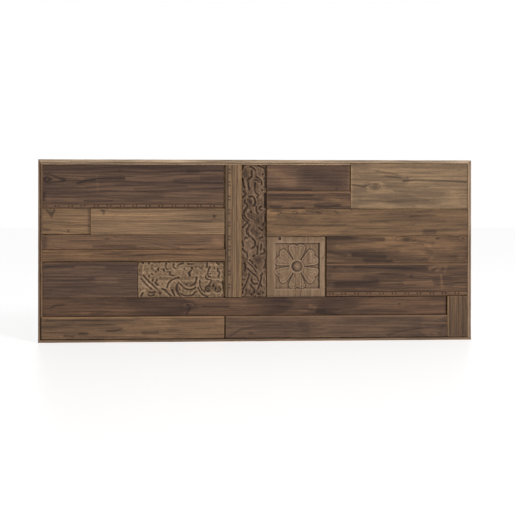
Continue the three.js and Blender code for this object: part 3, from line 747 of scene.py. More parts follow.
def worn_face(a, b, x, z, size, wear, seed):
    """How far wear and warp set each place of a face back, and how near it is to an edge."""
    chipped = smoothstep(1.1, 1.8, ripple(x, z, 42, seed + 9)) * 1.4
    rounding = np.clip(wear * (1 + 0.4 * ripple(x, z, 55, seed + 7)) + chipped, 0.3, 3)
    to_side = np.minimum(a, size[0] - a)
    to_end = np.minimum(b, size[1] - b)
    past = np.hypot(np.maximum(rounding - to_side, 0), np.maximum(rounding - to_end, 0))
    drop = rounding - np.sqrt(np.maximum(rounding**2 - past**2, 0))
    warp = 0.16 * (1.5 + ripple(x, z, 170, seed + 3)) + 0.05 * (1.5 + ripple(x, z, 30, seed + 4))
    return drop + warp, np.exp(-np.minimum(to_side, to_end) / EDGE_REACH)


def side_rows(rim, back_rim, thickness, on_side, on_end):
    """Rows of points from the rim of a face to the chamfered rim of the back, both given as points."""
    rows = max(1, round(thickness / WALL_ROW))
    shares = [*(np.arange(1, rows + 1) / rows * (1 - CHAMFER / thickness)), 1.0]
    points = [rim * (1 - share) + back_rim * share for share in shares]
    for axis, on_edge in ((0, on_side), (2, on_end)):
        last = points[-1][:, axis]
        points[-1][:, axis] += CHAMFER * np.sign(last.mean() - last) * on_edge
    return points


def board(node, look, corners=None, back_corners=None, facing=FRONT, shape=None, step=(5, 3.2),
          extra=((), ()), wear=0.8, sway=0.2, side_shade=0.0, grow=0.0):
    """A worn board in place of a CAD node, with a fine grid on the side it faces.

    corners is the outline of the face if it isn't the node's box, and back_corners that of its other
    side. shape(a, b, x, z) gives how deep each place of the face lies, and the painted shade and the
    painted highlight it gets. step and extra set the grid: how far apart its lines lie, and the lines
    that the shape needs.
    wear is the radius of the worn edges and sway how far the outline wanders inwards. The next argument
    sets the painted shade on its sides, darker deeper into the joints, and grow how far it is swollen
    towards its neighbours.
    """
    low, high = box_mm(node)
    if corners is None:
        (left, _, foot), (right, _, head) = low - grow, high + grow
        corners = [(left, foot), (right, foot), (right, head), (left, head)]
    face, back = (low[1], high[1]) if facing == FRONT else (high[1], low[1])
    seed = number_of(node)
    outline = np.array(corners, float)
    back_outline = outline if back_corners is None else np.array(back_corners, float)
    width = np.linalg.norm(outline[1] - outline[0])
    height = np.linalg.norm(outline[3] - outline[0])
    size = (width, height)

    columns = lines_along(width, step[0], extra[0])
    rows = lines_along(height, step[1], extra[1])
    a, b = np.meshgrid(columns, rows, indexing="ij")
    x, z = wandering_place(a, b, outline, size, sway, seed)
    depth, dirt_and_shade, wear_and_highlight = shape(a, b, x, z) if shape else (0.0, 0.0, 0.0)
    set_back, face_edge = worn_face(a, b, x, z, size, wear, seed)
    y = face - facing * (depth + set_back)

    # The points of the face, then rows of points that go round the board from the face to the back.
    index = np.arange(a.size).reshape(a.shape)
    rim = np.concatenate([index[:, 0], index[-1, 1:], index[-2::-1, -1], index[0, -2:0:-1]])
    face_points = np.stack([x, y, z], -1).reshape(-1, 3)
    rim_a, rim_b, rim_points = a.ravel()[rim], b.ravel()[rim], face_points[rim]
    back_x, back_z = wandering_place(rim_a[:, None], rim_b[:, None], back_outline, size, sway, seed)
    back_rim = np.stack([back_x.ravel(), np.full(len(rim), back), back_z.ravel()], 1)
    on_side = np.abs(rim_a - width / 2) > width / 2 - 0.01
    on_end = np.abs(rim_b - height / 2) > height / 2 - 0.01
    sides = side_rows(rim_points, back_rim, abs(back - face), on_side, on_end)
    points = np.concatenate([face_points, *sides])

    quads = np.stack([index[:-1, :-1], index[1:, :-1], index[1:, 1:], index[:-1, 1:]], -1).reshape(-1, 4)
    loops = [rim] + [a.size + k * len(rim) + np.arange(len(rim)) for k in range(len(sides))]
    walls = [
        np.stack([np.roll(near, -1), near, far, np.roll(far, -1)], 1) for near, far in zip(loops, loops[1:])
    ]
    faces = [quads, *walls, loops[-1][::-1][None, :]]
    if facing == BACK:
        faces = [group[:, ::-1] for group in faces]

    # What the wood material reads.
    side_edge = np.concatenate([np.exp(-np.abs(row[:, 1] - rim_points[:, 1]) / EDGE_REACH) for row in sides])
    edge = np.concatenate([face_edge.ravel(), side_edge])
    # The sides get painted shade, darker the further they lie behind the face.
    dirt_and_shade = np.concatenate([np.broadcast_to(dirt_and_shade, a.shape).ravel(), side_shade * (1 - side_edge)])
    wear_and_highlight = np.concatenate([np.broadcast_to(wear_and_highlight, a.shape).ravel(), 0 * side_edge])
    bend, near_knot = knot_fields(points[:, 0], points[:, 2], look)
    dark, pale = stroke_fields(points[:, 0], points[:, 2], look)
    fields = {
        "bend": bend,
        "marks": np.stack([dark, pale, near_knot], 1),
        "surface": np.stack([edge, dirt_and_shade, wear_and_highlight], 1),
    }
    last = sum(len(group) for group in faces) - 1
    mesh = make_mesh(node + "_board", points, faces, fields, flat=[last])
    material = wood_material(node + "_wood", look, outline.mean(0), face)
    return add_piece(node + "_board", mesh, material, look.slot, node)


# ---------------------------------------------------------------- mouldings
BEAD_RADIUS = 6
BEAD_PITCH = 47.2  # between two short beads of a plank
BEAD_HALF = 5.4  # half the length of a short bead, between its two notches
BEAD_ROUNDING = 7.4  # half the length that a short bead's rounding would have without them
NOTCH = 1.4  # width of a notch at its floor
NOTCH_FLOOR = 0.42  # height of the floor, as a share of the moulding's
NOTCH_MIDDLE = BEAD_HALF + NOTCH / 2
HALF_BEAD_LINES = np.array([0, 1.6, 3.2, 4.2, 4.9, 5.4, 5.9, 6.4, 6.9, 7.6, 8.6, 9.8])
BEAD_LINES = np.concatenate([-HALF_BEAD_LINES[::-1], HALF_BEAD_LINES])  # grid lines round a bead


def bead_places(first, length, seed):
    """Centres of the short beads along a moulding, set out by eye."""
    places = np.arange(first, length + BEAD_HALF, BEAD_PITCH)
    return places + np.random.default_rng(seed).uniform(-1.2, 1.2, len(places))


def to_nearest(along, places):
    """Distance along a moulding to the centre of the nearest short bead."""
    return np.abs(along[..., None] - places).min(-1)


def notched_bead(from_bead, across):
    """Height of a notched half-round over its flat, `across` from its centre line."""
    past_notch = from_bead - BEAD_HALF - NOTCH
    short = np.sqrt(np.clip(1 - (from_bead / BEAD_ROUNDING) ** 2, 0, 1))
    long = 1 - 0.55 * np.exp(-np.clip(past_notch, 0, None) / 1.5)
    fullness = np.where(from_bead < BEAD_HALF, short, np.where(past_notch > 0, long, NOTCH_FLOOR))
    return fullness * np.sqrt(np.clip(BEAD_RADIUS**2 - across**2, 0, None))


def notch_lines(places, length):
    """Grid lines round the short beads."""
    lines = places[:, None] + BEAD_LINES
    return lines[(lines > 0) & (lines < length)]


# Heights over the lower edge of a beaded plank.
MOULDING_CENTRE = BEAD_RADIUS + 3.5
MOULDING_TOP = MOULDING_CENTRE + BEAD_RADIUS + 2
MOULDING_LINES = [*np.arange(3.2, MOULDING_TOP, 0.55), MOULDING_TOP, MOULDING_TOP + 0.6]


def beaded_edge(places):
    """Shape of a plank whose lower edge is a notched half-round between two quirks."""

    def shape(a, b, x, z):
        from_bead = to_nearest(a, places)
        height = notched_bead(from_bead, b - MOULDING_CENTRE)
        moulding = 1 - smoothstep(MOULDING_TOP - 1.4, MOULDING_TOP, b)
        depth = moulding * (BEAD_RADIUS - height) * 0.6
        notch = bell(from_bead - NOTCH_MIDDLE, 2.2) * bell(b - MOULDING_CENTRE, 4.5)
        # Painted shade on the low parts of the moulding and in the notches.
        dirt_and_shade = moulding * (np.clip(1 - height / 4, 0, 1) * 0.08 + 0.65 * notch)
        # The moulding is lighter, most on the top of the bead: painted highlight, with some wear.
        wear_and_highlight = moulding * (1.25 + 0.3 * smoothstep(4.2, 6, height)) * (1 - notch)
        return depth, dirt_and_shade, wear_and_highlight

    return shape


# Section of the upright batten, from its left edge: the bead's middle, flat reeds, and a raised edge.
BATTEN_BEAD = 13.5
BATTEN_REEDS = ((26.5, 41), (42.5, 53.5))
BATTEN_REED_HEIGHT = 3.2
BATTEN_EDGE = 55
BATTEN_QUIRK = 4  # how far the lowest parts lie behind the raised edge
BATTEN_BEADS = (40.5, 89.5, 140.5, 180, 218, 269, 315, 365, 418, 464)  # listed from the foot up


def batten_shape(a, b, x, z):
    """Shape of the upright batten: notched bead, two flat reeds and a raised right edge."""
    from_bead = to_nearest(b, BATTEN_BEADS)
    bead = notched_bead(from_bead, (a - BATTEN_BEAD) * 1.1) * 0.55
    reeds = 0
    for left, right in BATTEN_REEDS:
        across = np.abs(a - (left + right) / 2) / ((right - left) / 2)
        reeds = np.maximum(reeds, BATTEN_REED_HEIGHT * np.sqrt(np.clip(1 - across**8, 0, 1)))
    slope = 2.4 * (1 - smoothstep(2, 8, a))
    flat = 1.2 * smoothstep(20, 22, a)
    rise = smoothstep(BATTEN_EDGE, BATTEN_EDGE + 1.0, a)
    proud = np.maximum(np.maximum(bead, reeds), np.maximum(slope, flat))
    depth = (BATTEN_QUIRK - proud) * (1 - rise)
    notch = bell(from_bead - NOTCH_MIDDLE, 2.8) * bell(a - BATTEN_BEAD, 5)
    # Painted shade along the left edge and in the notches, and below, in the quirks.
    dirt_and_shade = 0.5 * (1 - smoothstep(1, 7, a)) + 1.1 * notch
    for quirk, darkness, width in ((25, 0.4, 1.1), (41.7, 0.25, 0.8), (54.4, 0.5, 0.9)):
        dirt_and_shade = dirt_and_shade + darkness * bell(a - quirk, width)
    # Lighter on the reeds, the raised edge and the tops of the beads: painted highlight, with some wear.
    wear_and_highlight = 0.3 * smoothstep(25, 28, a) - 0.1 + 0.4 * rise + 0.3 * smoothstep(2.3, 3.2, bead) * (1 - notch)
    return depth, dirt_and_shade * (1 - rise), wear_and_highlight


# ---------------------------------------------------------------- carving
def blurred(values, cells):
    """A grid of values, averaged with a bell curve `cells` wide."""
    reach = np.arange(-3 * cells, 3 * cells + 1)
    weights = np.exp(-(reach**2) / (2 * cells**2))
    weights = weights / weights.sum()
    for axis in (0, 1):
        padding = [(3 * cells, 3 * cells) if axis == side else (0, 0) for side in (0, 1)]
        wide = np.pad(values, padding, mode="edge")
        length = values.shape[axis]
        values = sum(w * np.take(wide, range(k, k + length), axis) for k, w in enumerate(weights))
    return values


def distances(x, z, lines, reach=24):
    """Distance from each place to each smooth line through given points, as far as `reach`."""
    for points in lines:
        line = curve_through(points)
        near = (x > line[:, 0].min() - reach) & (x < line[:, 0].max() + reach)
        near &= (z > line[:, 1].min() - reach) & (z < line[:, 1].max() + reach)
        distance = np.full(x.shape, float(reach))
        distance[near] = distance_to_line(x[near], z[near], line)
        yield distance


def finish_relief(height, deepest):
    """Depth below the highest place, painted shade in hollows and low ground, and painted highlight on
    rises.
    """
    height = blurred(height, 1)
    lift = height - blurred(height, 5)
    # Painted shade where a place lies below its surroundings and on the low ground; painted highlight where
    # it rises.
    dirt_and_shade = np.clip(-lift / 1.3, 0, 1) * 0.85 + np.clip(1 - height / 2.4, 0, 1) * 0.3
    return deepest - height, np.clip(dirt_and_shade, 0, 1), np.clip(lift / 1.3, 0, 1)


RELIEF = 7  # height of the carving over its deepest cuts


def scrollwork(grooves, ridges, dots, seed):
    """Shape of a scroll panel: rounded leaves parted by deep cuts, with raised veins and drilled dots."""

    def shape(a, b, x, z):
        cut = np.zeros(x.shape)
        nearest = np.full(x.shape, 24.0)
        width = np.clip(1.9 + 0.9 * ripple(x, z, 24, seed), 1.0, 3.4)
        for distance in distances(x, z, grooves):
            cut = np.maximum(cut, bell(distance, width))
            nearest = np.minimum(nearest, distance)
        vein = np.full(x.shape, -1.0)
        for distance in distances(x, z, ridges):
            vein = np.maximum(vein, bell(distance, 3.2) - 0.35 * bell(distance - 7, 2))
        for dot_x, dot_z in dots:
            distance = np.hypot((x - dot_x) * 1.3, z - dot_z) + ripple(x, z, 9, seed + 1)
            cut = np.maximum(cut, bell(distance, 3.6))
            nearest = np.minimum(nearest, distance)
        leaf = 2.6 * np.sin(np.clip(nearest, 0, 7) / 7 * np.pi / 2) - 0.9 * smoothstep(9, 20, nearest)
        flutes = 0.5 * np.cos(2 * np.pi * nearest / 6) * np.exp(-nearest / 14)
        chisel = 0.6 * ripple(x, z, 15, seed + 2) + 0.25 * ripple(x, z, 6, seed + 3, 12)
        fold = 0.9 * smoothstep(0.4, 1.5, ripple(x, z, 19, seed + 4, 10))
        fold = fold - 1.3 * smoothstep(0.9, 1.9, ripple(x, z, 17, seed + 5, 10))
        height = 1.9 + leaf + (2.7 * vein + flutes + chisel + fold) * (1 - cut) - 4.2 * cut
        return finish_relief(np.clip(height, 0, RELIEF), RELIEF)

    return shape


# The scroll panels: deep cuts, raised veins and drilled dots, as (x, z) over the whole headboard.
LYING_GROOVES = [
    [(-332, 200), (-328, 213), (-318, 224), (-305, 231), (-290, 236)],
    [(-290, 218), (-281, 210), (-272, 201), (-262, 194), (-250, 191), (-235, 193), (-228, 197)],
    [(-223, 236), (-227, 222), (-232, 212), (-245, 205)],
    [(-218, 197), (-210, 182), (-197, 170), (-183, 165)],
    [(-428, 232), (-405, 207), (-390, 195)],
    [(-400, 221), (-383, 206), (-370, 195)],
    [(-350, 194), (-340, 190), (-330, 180), (-318, 168)],
    [(-288, 215), (-294, 210), (-298, 194), (-292, 177), (-283, 168)],
    [(-315, 190), (-310, 180), (-304, 170)],
    [(-185, 291), (-186, 275)],
    [(-175, 275), (-180, 262), (-183, 250), (-189, 243), (-188, 232), (-170, 226)],
    [(-150, 292), (-142, 282)],
    [(-147, 268), (-145, 258)],
    [(-138, 255), (-143, 240)],
    [(-170, 222), (-177, 208)],
    [(-422, 178), (-428, 168)],
    [(-335, 288), (-338, 279), (-336, 271), (-330, 265)],
    [(-309, 285), (-309, 276), (-303, 270)],
    [(-333, 257), (-320, 255), (-323, 247), (-314, 243), (-305, 242)],
    [(-365, 270), (-366, 262)],
    [(-345, 268), (-344, 260)],
    [(-374, 213), (-366, 207)],
    [(-244, 262), (-251, 254), (-249, 243)],
    [(-400, 182), (-388, 180), (-376, 183)],
    [(-294, 278), (-288, 284), (-274, 288)],
    [(-255, 285), (-235, 285)],
    [(-283, 176), (-262, 168), (-240, 172), (-226, 184)],
    [(-213, 223), (-212, 207), (-205, 192), (-193, 183)],
    [(-173, 249), (-181, 248), (-181, 240), (-174, 239)],
    [(-175, 203), (-186, 203), (-191, 194), (-185, 186), (-176, 187)],
    [(-153, 196), (-155, 189), (-150, 183), (-141, 184), (-136, 191), (-141, 197)],
    [(-129, 218), (-124, 207), (-125, 194)],
    [(-370, 226), (-374, 217), (-370, 210)],
    [(-403, 174), (-393, 169), (-380, 173)],
    [(-418, 244), (-411, 233), (-404, 226)],
]
LYING_RIDGES = [
    [(-325, 195), (-322, 212), (-310, 224), (-295, 231), (-280, 213), (-270, 203), (-258, 198), (-245, 197),
     (-232, 204), (-222, 207)],
    [(-217, 240), (-215, 215), (-213, 205), (-200, 190), (-185, 178), (-175, 175)],
    [(-222, 200), (-235, 185), (-243, 175)],
    [(-180, 253), (-187, 243), (-186, 235), (-175, 230), (-160, 229), (-145, 229), (-133, 224)],
    [(-174, 240), (-170, 245), (-175, 249), (-180, 245)],
    [(-147, 212), (-135, 208), (-128, 195), (-130, 180), (-137, 168)],
    [(-415, 232), (-380, 198)],
    [(-395, 228), (-362, 200)],
    [(-420, 285), (-420, 250)],
    [(-135, 262), (-137, 240), (-131, 224)],
    [(-306, 178), (-299, 168), (-285, 170)],
    [(-292, 196), (-287, 186), (-279, 189), (-283, 197)],
    [(-432, 172), (-424, 186), (-412, 190)],
    [(-375, 284), (-382, 276), (-374, 270), (-367, 276)],
]
LYING_DOTS = [
    (-386, 225), (-370, 226), (-367, 265), (-388, 249), (-399, 241), (-374, 257), (-358, 178), (-311, 183),
    (-158, 269), (-261, 211), (-183, 195), (-145, 191), (-163, 205), (-420, 290), (-398, 290), (-360, 180),
    (-241, 270), (-250, 248), (-251, 251),
]

UPRIGHT_GROOVES = [
    [(-25, 646), (-15, 640), (-8, 632)],
    [(-20, 632), (-21, 620), (-20, 610), (-27, 603), (-36, 596), (-34, 588), (-33, 578), (-31, 568),
     (-29, 560)],
    [(-55, 636), (-52, 650)],
    [(-55, 602), (-53, 585), (-52, 575), (-48, 568)],
    [(-52, 555), (-47, 549), (-42, 543), (-54, 532)],
    [(-3, 607), (5, 603), (12, 596), (16, 588), (16, 579)],
    [(-5, 596), (3, 594), (8, 588)],
    [(-7, 584), (-9, 570), (-8, 555), (-3, 545), (5, 540), (0, 532)],
    [(-30, 535), (-18, 535), (-10, 527), (-7, 515), (-9, 503), (-14, 500)],
    [(-45, 521), (-47, 512), (-40, 507), (-37, 498), (-42, 490), (-48, 482), (-50, 472), (-47, 462),
     (-40, 452), (-30, 446)],
    [(-56, 466), (-52, 454), (-43, 444), (-36, 439), (-45, 430), (-54, 420)],
    [(-4, 495), (-3, 480), (3, 472)],
    [(8, 490), (10, 495), (14, 497)],
    [(-28, 430), (-35, 420), (-39, 410), (-39, 400), (-33, 392), (-28, 386)],
    [(7, 418), (13, 412), (20, 409)],
    [(-45, 378), (-42, 384), (-37, 381)],
    [(-18, 380), (-10, 370), (-7, 360), (-10, 350), (-20, 343)],
    [(-56, 368), (-52, 352)],
    [(-55, 340), (-50, 333), (-42, 328), (-38, 320), (-35, 312)],
    [(0, 350), (2, 340), (1, 330), (0, 322)],
    [(15, 356), (14, 345), (13, 338)],
    [(26, 340), (26, 326), (14, 321)],
    [(-10, 318), (-15, 313)],
    [(-28, 299), (-20, 292), (-16, 285)],
    [(-34, 290), (-20, 278), (-10, 266), (-6, 258)],
    [(-35, 268), (-25, 257), (-13, 246), (0, 236), (5, 222)],
    [(-48, 288), (-44, 275), (-45, 260)],
    [(-30, 250), (-31, 238), (-38, 222), (-45, 205), (-52, 190), (-55, 178)],
    [(-8, 279), (-3, 270)],
    [(20, 250), (15, 240), (15, 228), (10, 215), (15, 203)],
    [(-22, 228), (-18, 215), (-10, 210), (0, 212)],
    [(-24, 206), (-18, 198), (-11, 190), (-11, 180)],
    [(4, 195), (8, 205)],
    [(10, 380), (20, 385)],
    [(30, 545), (30, 520), (29, 495)],
    [(30, 640), (31, 610), (30, 570)],
    [(24, 640), (12, 646), (4, 650)],
    [(31, 470), (30, 440)],
    [(31, 300), (30, 270)],
]
UPRIGHT_RIDGES = [
    [(-53, 625), (-50, 640), (-40, 648), (-22, 648), (-10, 642), (-2, 635), (0, 622)],
    [(-52, 606), (-47, 598), (-45, 585), (-42, 572), (-40, 560)],
    [(0, 612), (12, 603), (20, 590), (22, 575)],
    [(-14, 632), (-14, 610), (-24, 595), (-26, 575)],
    [(-38, 480), (-34, 486), (-29, 481), (-33, 475), (-38, 480)],
    [(2, 500), (2, 485), (8, 477), (18, 478), (23, 485), (20, 492), (12, 490)],
    [(-44, 520), (-38, 530), (-26, 541), (-12, 535), (-3, 520), (-3, 505)],
    [(-20, 420), (-28, 412), (-30, 403), (-22, 396), (-14, 386)],
    [(-44, 374), (-40, 379), (-35, 375), (-39, 369), (-44, 374)],
    [(-20, 392), (-8, 378), (-2, 365), (-4, 350), (-14, 338)],
    [(-30, 330), (-32, 312), (-33, 295), (-38, 275)],
    [(-44, 470), (-40, 460), (-32, 452), (-22, 446)],
    [(8, 330), (8, 350), (10, 366)],
    [(-27, 285), (-14, 272), (-4, 260)],
    [(22, 240), (18, 222), (22, 205)],
    [(-36, 240), (-44, 220), (-52, 205)],
    [(-26, 215), (-16, 222), (-4, 220)],
]
UPRIGHT_DOTS = [
    (-54, 227), (-54, 207), (-53, 193), (-41, 188), (-21, 171), (5, 173), (22, 178), (24, 270), (27, 277),
    (24, 430), (25, 435), (18, 559), (20, 617), (26, 600), (-43, 486), (-24, 478),
]

# Rosette: half a petal's outline as (out from the centre, aside), sunk in a square.
PETAL = [
    (26, 13.5), (42, 21), (56, 27.5), (66, 31), (74, 30.5), (79.5, 26), (82.5, 18), (82, 10), (78.5, 3),
    (76, 0),
]
PETAL_COUNT = 6
FLOWER_MIDDLE = 28  # radius within which the petals sink towards the ring
RING_RADIUS, RING_HALF = 24.5, 4.8
DISH_RADIUS = 20
STUD_RADIUS, STUD_LOBES, LOBE_DEPTH = 10.5, 7, 3.6
ROSETTE_CENTRE = (148, 275.5)
TILE_SINK = ((64.5, 232.5), (192.5, 362.5))  # sunk square: left and right, then foot and head
TILE_RELIEF = 7
TILE_BORDER = 5.6  # height of the border
NAIL_HOLE = (83.5, 378.5)
WORM_HOLE = (79, 249)


def petal_distance(along, aside):
    """Distance to a petal's outline, above 0 inside it, from places out along its middle and aside of it."""
    outline = curve_through(PETAL, 4)
    widest = int(outline[:, 1].argmax())
    furthest = int(outline[:, 0].argmax())
    side = np.interp(along, outline[:furthest, 0], outline[:furthest, 1])
    tip = np.interp(aside, outline[widest:, 1][::-1], outline[widest:, 0][::-1])
    inside = (aside < side) & (along < tip) & (along > PETAL[0][0])
    distance = distance_to_line(along, aside, outline)
    return np.where(inside, distance, -distance)


def rosette_shape(a, b, x, z):
    """Shape of the rosette tile: heart petals with rims, a ring, a star-shaped stud and a sunk ground."""
    right_of, above = x - ROSETTE_CENTRE[0], z - ROSETTE_CENTRE[1]
    out = np.hypot(right_of, above) + 0.5 * ripple(x, z, 45, 2)
    turn = np.arctan2(above, right_of) + 0.02 * ripple(x, z, 60, 6)
    sector = 2 * np.pi / PETAL_COUNT
    from_middle = turn % sector - sector / 2
    aside = np.abs(out * np.sin(from_middle))
    signed = petal_distance(out * np.cos(from_middle), aside)

    belly = 1.5 * smoothstep(0, 2, signed) + 2.2 * np.sin(np.clip(signed, 0, 18) / 18 * np.pi / 2)
    rim = 1.5 * bell(signed - 2.6, 1.7) - bell(signed - 6.6, 1.6) * (signed > 0)
    moat = 1.5 * bell(signed + 0.6, 1.5)
    slant = 0.9 * smoothstep(-80, 80, right_of)  # the flower leans: its right side stands higher
    folds = 0.35 * np.cos(from_middle * 34) * smoothstep(34, 60, out) * (signed > 6)
    chisel = 0.25 * ripple(x, z, 16, 3) + 0.12 * ripple(x, z, 6, 4, 12)
    height = 2.3 + 0.9 * belly + rim - moat + folds + slant * (signed > 0) + chisel

    # Ring, dish and stud.
    ring = 4.4 * np.sqrt(np.clip(1 - ((out - RING_RADIUS) / RING_HALF) ** 2, 0, 1))
    star = STUD_RADIUS + LOBE_DEPTH * np.cos(STUD_LOBES * turn + 0.6)
    stud = 3.6 * smoothstep(-0.5, 2.6, star - out) + 1.1 * bell(out, 3.5) - 1.3 * bell(out - 5.5, 1.3)
    dish = 0.7 + 1.2 * smoothstep(-16, 16, right_of)
    height = np.where(out < FLOWER_MIDDLE, np.maximum(ring + 1.2, 0.6 * height), height)
    height = np.where(out < DISH_RADIUS, np.maximum(np.maximum(stud, dish), ring), height)

    # The border stands proud of the sunk square; its left wall is only a gentle slope.
    (left, right), (foot, head) = TILE_SINK
    into_left = smoothstep(-2, 7, x - left)
    into_right = smoothstep(-0.4, 1.2, right - x)
    into_end = np.minimum(smoothstep(-1, 3, z - foot), smoothstep(-0.6, 1.6, head - z))
    sunk = np.minimum(np.minimum(into_left, into_right), into_end)
    line = 1.9 * bell(right - x - 2.4, 1.8) + 1.3 * bell(head - z - 2.2, 1.4)
    line = line + 0.7 * bell(z - foot - 1.5, 1.2)
    border = TILE_BORDER + 0.25 * ripple(x, z, 60, 8) + 0.1 * chisel
    height = (height - line) * sunk + border * (1 - sunk)
    foot_line = 1.4 * bell(z - 168.5, 1.1)
    from_nail = np.hypot(x - NAIL_HOLE[0], z - NAIL_HOLE[1])
    hole = 5.5 * smoothstep(-6.4, -4.8, -from_nail) - 3.2 * smoothstep(-2.6, -1.6, -from_nail)
    hole = hole + 3 * bell(np.hypot(x - WORM_HOLE[0], z - WORM_HOLE[1]), 2.6)
    return finish_relief(np.clip(height - foot_line - hole, 0, TILE_RELIEF), TILE_RELIEF)


# ---------------------------------------------------------------- screws and nails
def turned_mesh(name, profile, sides=40, dent=None, thread=None):
    """A turned piece that points along -Y from its top at the origin.

    profile holds (radius, depth) from the middle of the top to the tip. dent(x, z) sinks the top, and
    thread(depth, turn) takes off from the radius.
    """
    turn = np.arange(sides) / sides * 2 * np.pi
    radius, depth = np.array(profile[1:-1], float).T[:, :, None] + 0 * turn
    if thread is not None:
        radius = radius - thread(depth, turn)
    x, z = radius * np.cos(turn), radius * np.sin(turn)
    centre = profile[0][1]
    if dent is not None:
        depth = depth + dent(x, z) * (depth < 0.3)
        centre = centre + dent(0.0, 0.0)
    rings = np.stack([x, -depth, z], -1).reshape(-1, 3)
    points = np.concatenate([[(0, -centre, 0)], rings, [(0, -profile[-1][1], 0)]])

    index = 1 + np.arange(len(rings)).reshape(-1, sides)
    after = np.roll(index, -1, 1)
    quads = np.stack([index[:-1], after[:-1], after[1:], index[1:]], -1).reshape(-1, 4)
    top = np.stack([np.zeros(sides, int), after[0], index[0]], 1)
    tip = np.stack([np.full(sides, len(points) - 1), index[-1], after[-1]], 1)
    return make_mesh(name, points, [quads, top, tip], {})


def cross_dent(x, z):
    """Cross recess of a screw head."""
    near, far = np.minimum(np.abs(x), np.abs(z)), np.maximum(np.abs(x), np.abs(z))
    return 1.5 * (1 - smoothstep(0.45, 0.8, near)) * (1 - smoothstep(1.9, 2.5, far))


def screw_thread(depth, turn):
    """Depth of a thread that starts below a plain neck."""
    pitch = 1.8
    wave = np.abs((depth / pitch - turn / (2 * np.pi)) % 1 * 2 - 1)
    return 0.5 * wave * smoothstep(8, 10, depth)


def steel_material(name, colour, rust, rust_share):
    """Steel with dull and brown patches."""
    material, tree, shader = new_material(name)
    place = tree.nodes.new("ShaderNodeTexCoord")
    x, y, z = split(tree, Field(tree, place.outputs["Object"]))
    patch = (noise(tree, x * 320, y * 320, z * 320, 4.0) + rust_share).step(0.08, 0.3)
    fine = noise(tree, x * 1500, y * 1500, z * 1500, 2.0)
    connect(tree, shader.inputs["Base Color"], patch.mix(linear(colour), linear(rust)))
    connect(tree, shader.inputs["Metallic"], 1 - patch * 0.7)
    connect(tree, shader.inputs["Roughness"], patch * 0.3 + fine * 0.3 + 0.36)
    add_bump(tree, shader, fine + patch, 0.1 * MM)
    return material


SCREW_PROFILE = [
    (0, 0), *[(radius, 0) for radius in np.arange(0.25, 3.8, 0.25)], (4.0, 0.06), (4.2, 0.25), (4.2, 0.6),
    (3.4, 1.4), (2.6, 2.2), (1.9, 3.0), *[(1.9, depth) for depth in np.arange(3.6, 28, 0.35)],
    (1.6, 28.6), (0.9, 30.2), (0.3, 31.6), (0, 32),
]
NAIL_PROFILE = [
    (0, 0), *[(radius, 0.02 * radius**2) for radius in np.arange(0.3, 2.2, 0.3)], (2.35, 0.16), (2.5, 0.4),
    (2.5, 0.8), (2.3, 1.0), (1.2, 1.05), (1.1, 1.4), *[(1.1, depth) for depth in np.arange(3, 32, 3)],
    (0.7, 32.8), (0.25, 33.7), (0, 34),
]


def nail_dent(x, z):
    """Chequered head of a nail."""
    return 0.09 * np.maximum(np.cos(x * 7.5) * np.cos(z * 7.5), 0)


# ---------------------------------------------------------------- build the front
def outer_frame():
    """Corners of the four mitred frame members, from the boxes of the rails and stiles."""
    left, right = box_mm("left_stile"), box_mm("right_stile")
    bottom, top = box_mm("bottom_rail"), box_mm("top_rail")
    x0, x1, x2, x3 = top[0][0], left[1][0], right[0][0], top[1][0]
    z0, z1, z2, z3 = bottom[0][2], bottom[1][2], top[0][2], top[1][2]
    gap = 0.45  # hairline mitre
    return {
        "top_rail": [(x1, z2), (x2, z2), (x3, z3), (x0, z3)],
        "bottom_rail": [(x0, z0), (x3, z0), (x2, z1), (x1, z1)],
        "left_stile": [(x0, z0 + gap), (x1, z1 + gap), (x1, z2 - gap), (x0, z3 - gap)],
        "right_stile": [(x2, z1 + gap), (x3, z0 + gap), (x3, z3 - gap), (x2, z2 - gap)],
    }


for name, corners in outer_frame().items():
    board(name, LOOKS[name], corners=corners, step=(5, 5), wear=1.1)

JOINT_SHADE = 0.4  # painted shade on the sides of the front's boards, darker deeper into the joints
SWELL = 0.25  # how far boards are swollen into their joints, past their CAD boxes
CORNER_SWELL = 1.4  # the joints round the corner plank are tighter
PLAIN_BOARDS = [
    "plank_left_short", "plank_left_pale", "plank_left_middle", "plank_left_narrow", "plank_left_lower",
    "plank_right_top", "plank_right_second", "plank_right_corner", "plank_right_wide", "plank_right_middle",
    "plank_lower_long", "plank_bottom_left", "plank_bottom_right", "end_block", "top_lath", "left_lath",
]
for name in PLAIN_BOARDS:
    step = (3.2, 5) if LOOKS[name].grain == "Z" else (5, 3.2)
    grow = CORNER_SWELL if name == "plank_right_corner" else SWELL
    board(name, LOOKS[name], step=step, side_shade=JOINT_SHADE, grow=grow)

FIRST_BEADS = {"plank_left_top": 5.5, "plank_right_beaded": 16}  # from the left end of each beaded plank
BEAD_SEED = 4
for name, first in FIRST_BEADS.items():
    low, high = box_mm(name)
    length = high[0] - low[0]
    places = bead_places(first, length, BEAD_SEED)
    lines = (notch_lines(places, length), MOULDING_LINES)
    board(name, LOOKS[name], shape=beaded_edge(places), extra=lines, side_shade=JOINT_SHADE, grow=SWELL)

name = "beaded_batten"
low, high = box_mm(name)
lines = ((), notch_lines(np.array(BATTEN_BEADS), high[2] - low[2]))
board(name, LOOKS[name], shape=batten_shape, step=(0.8, 6), extra=lines, side_shade=JOINT_SHADE)

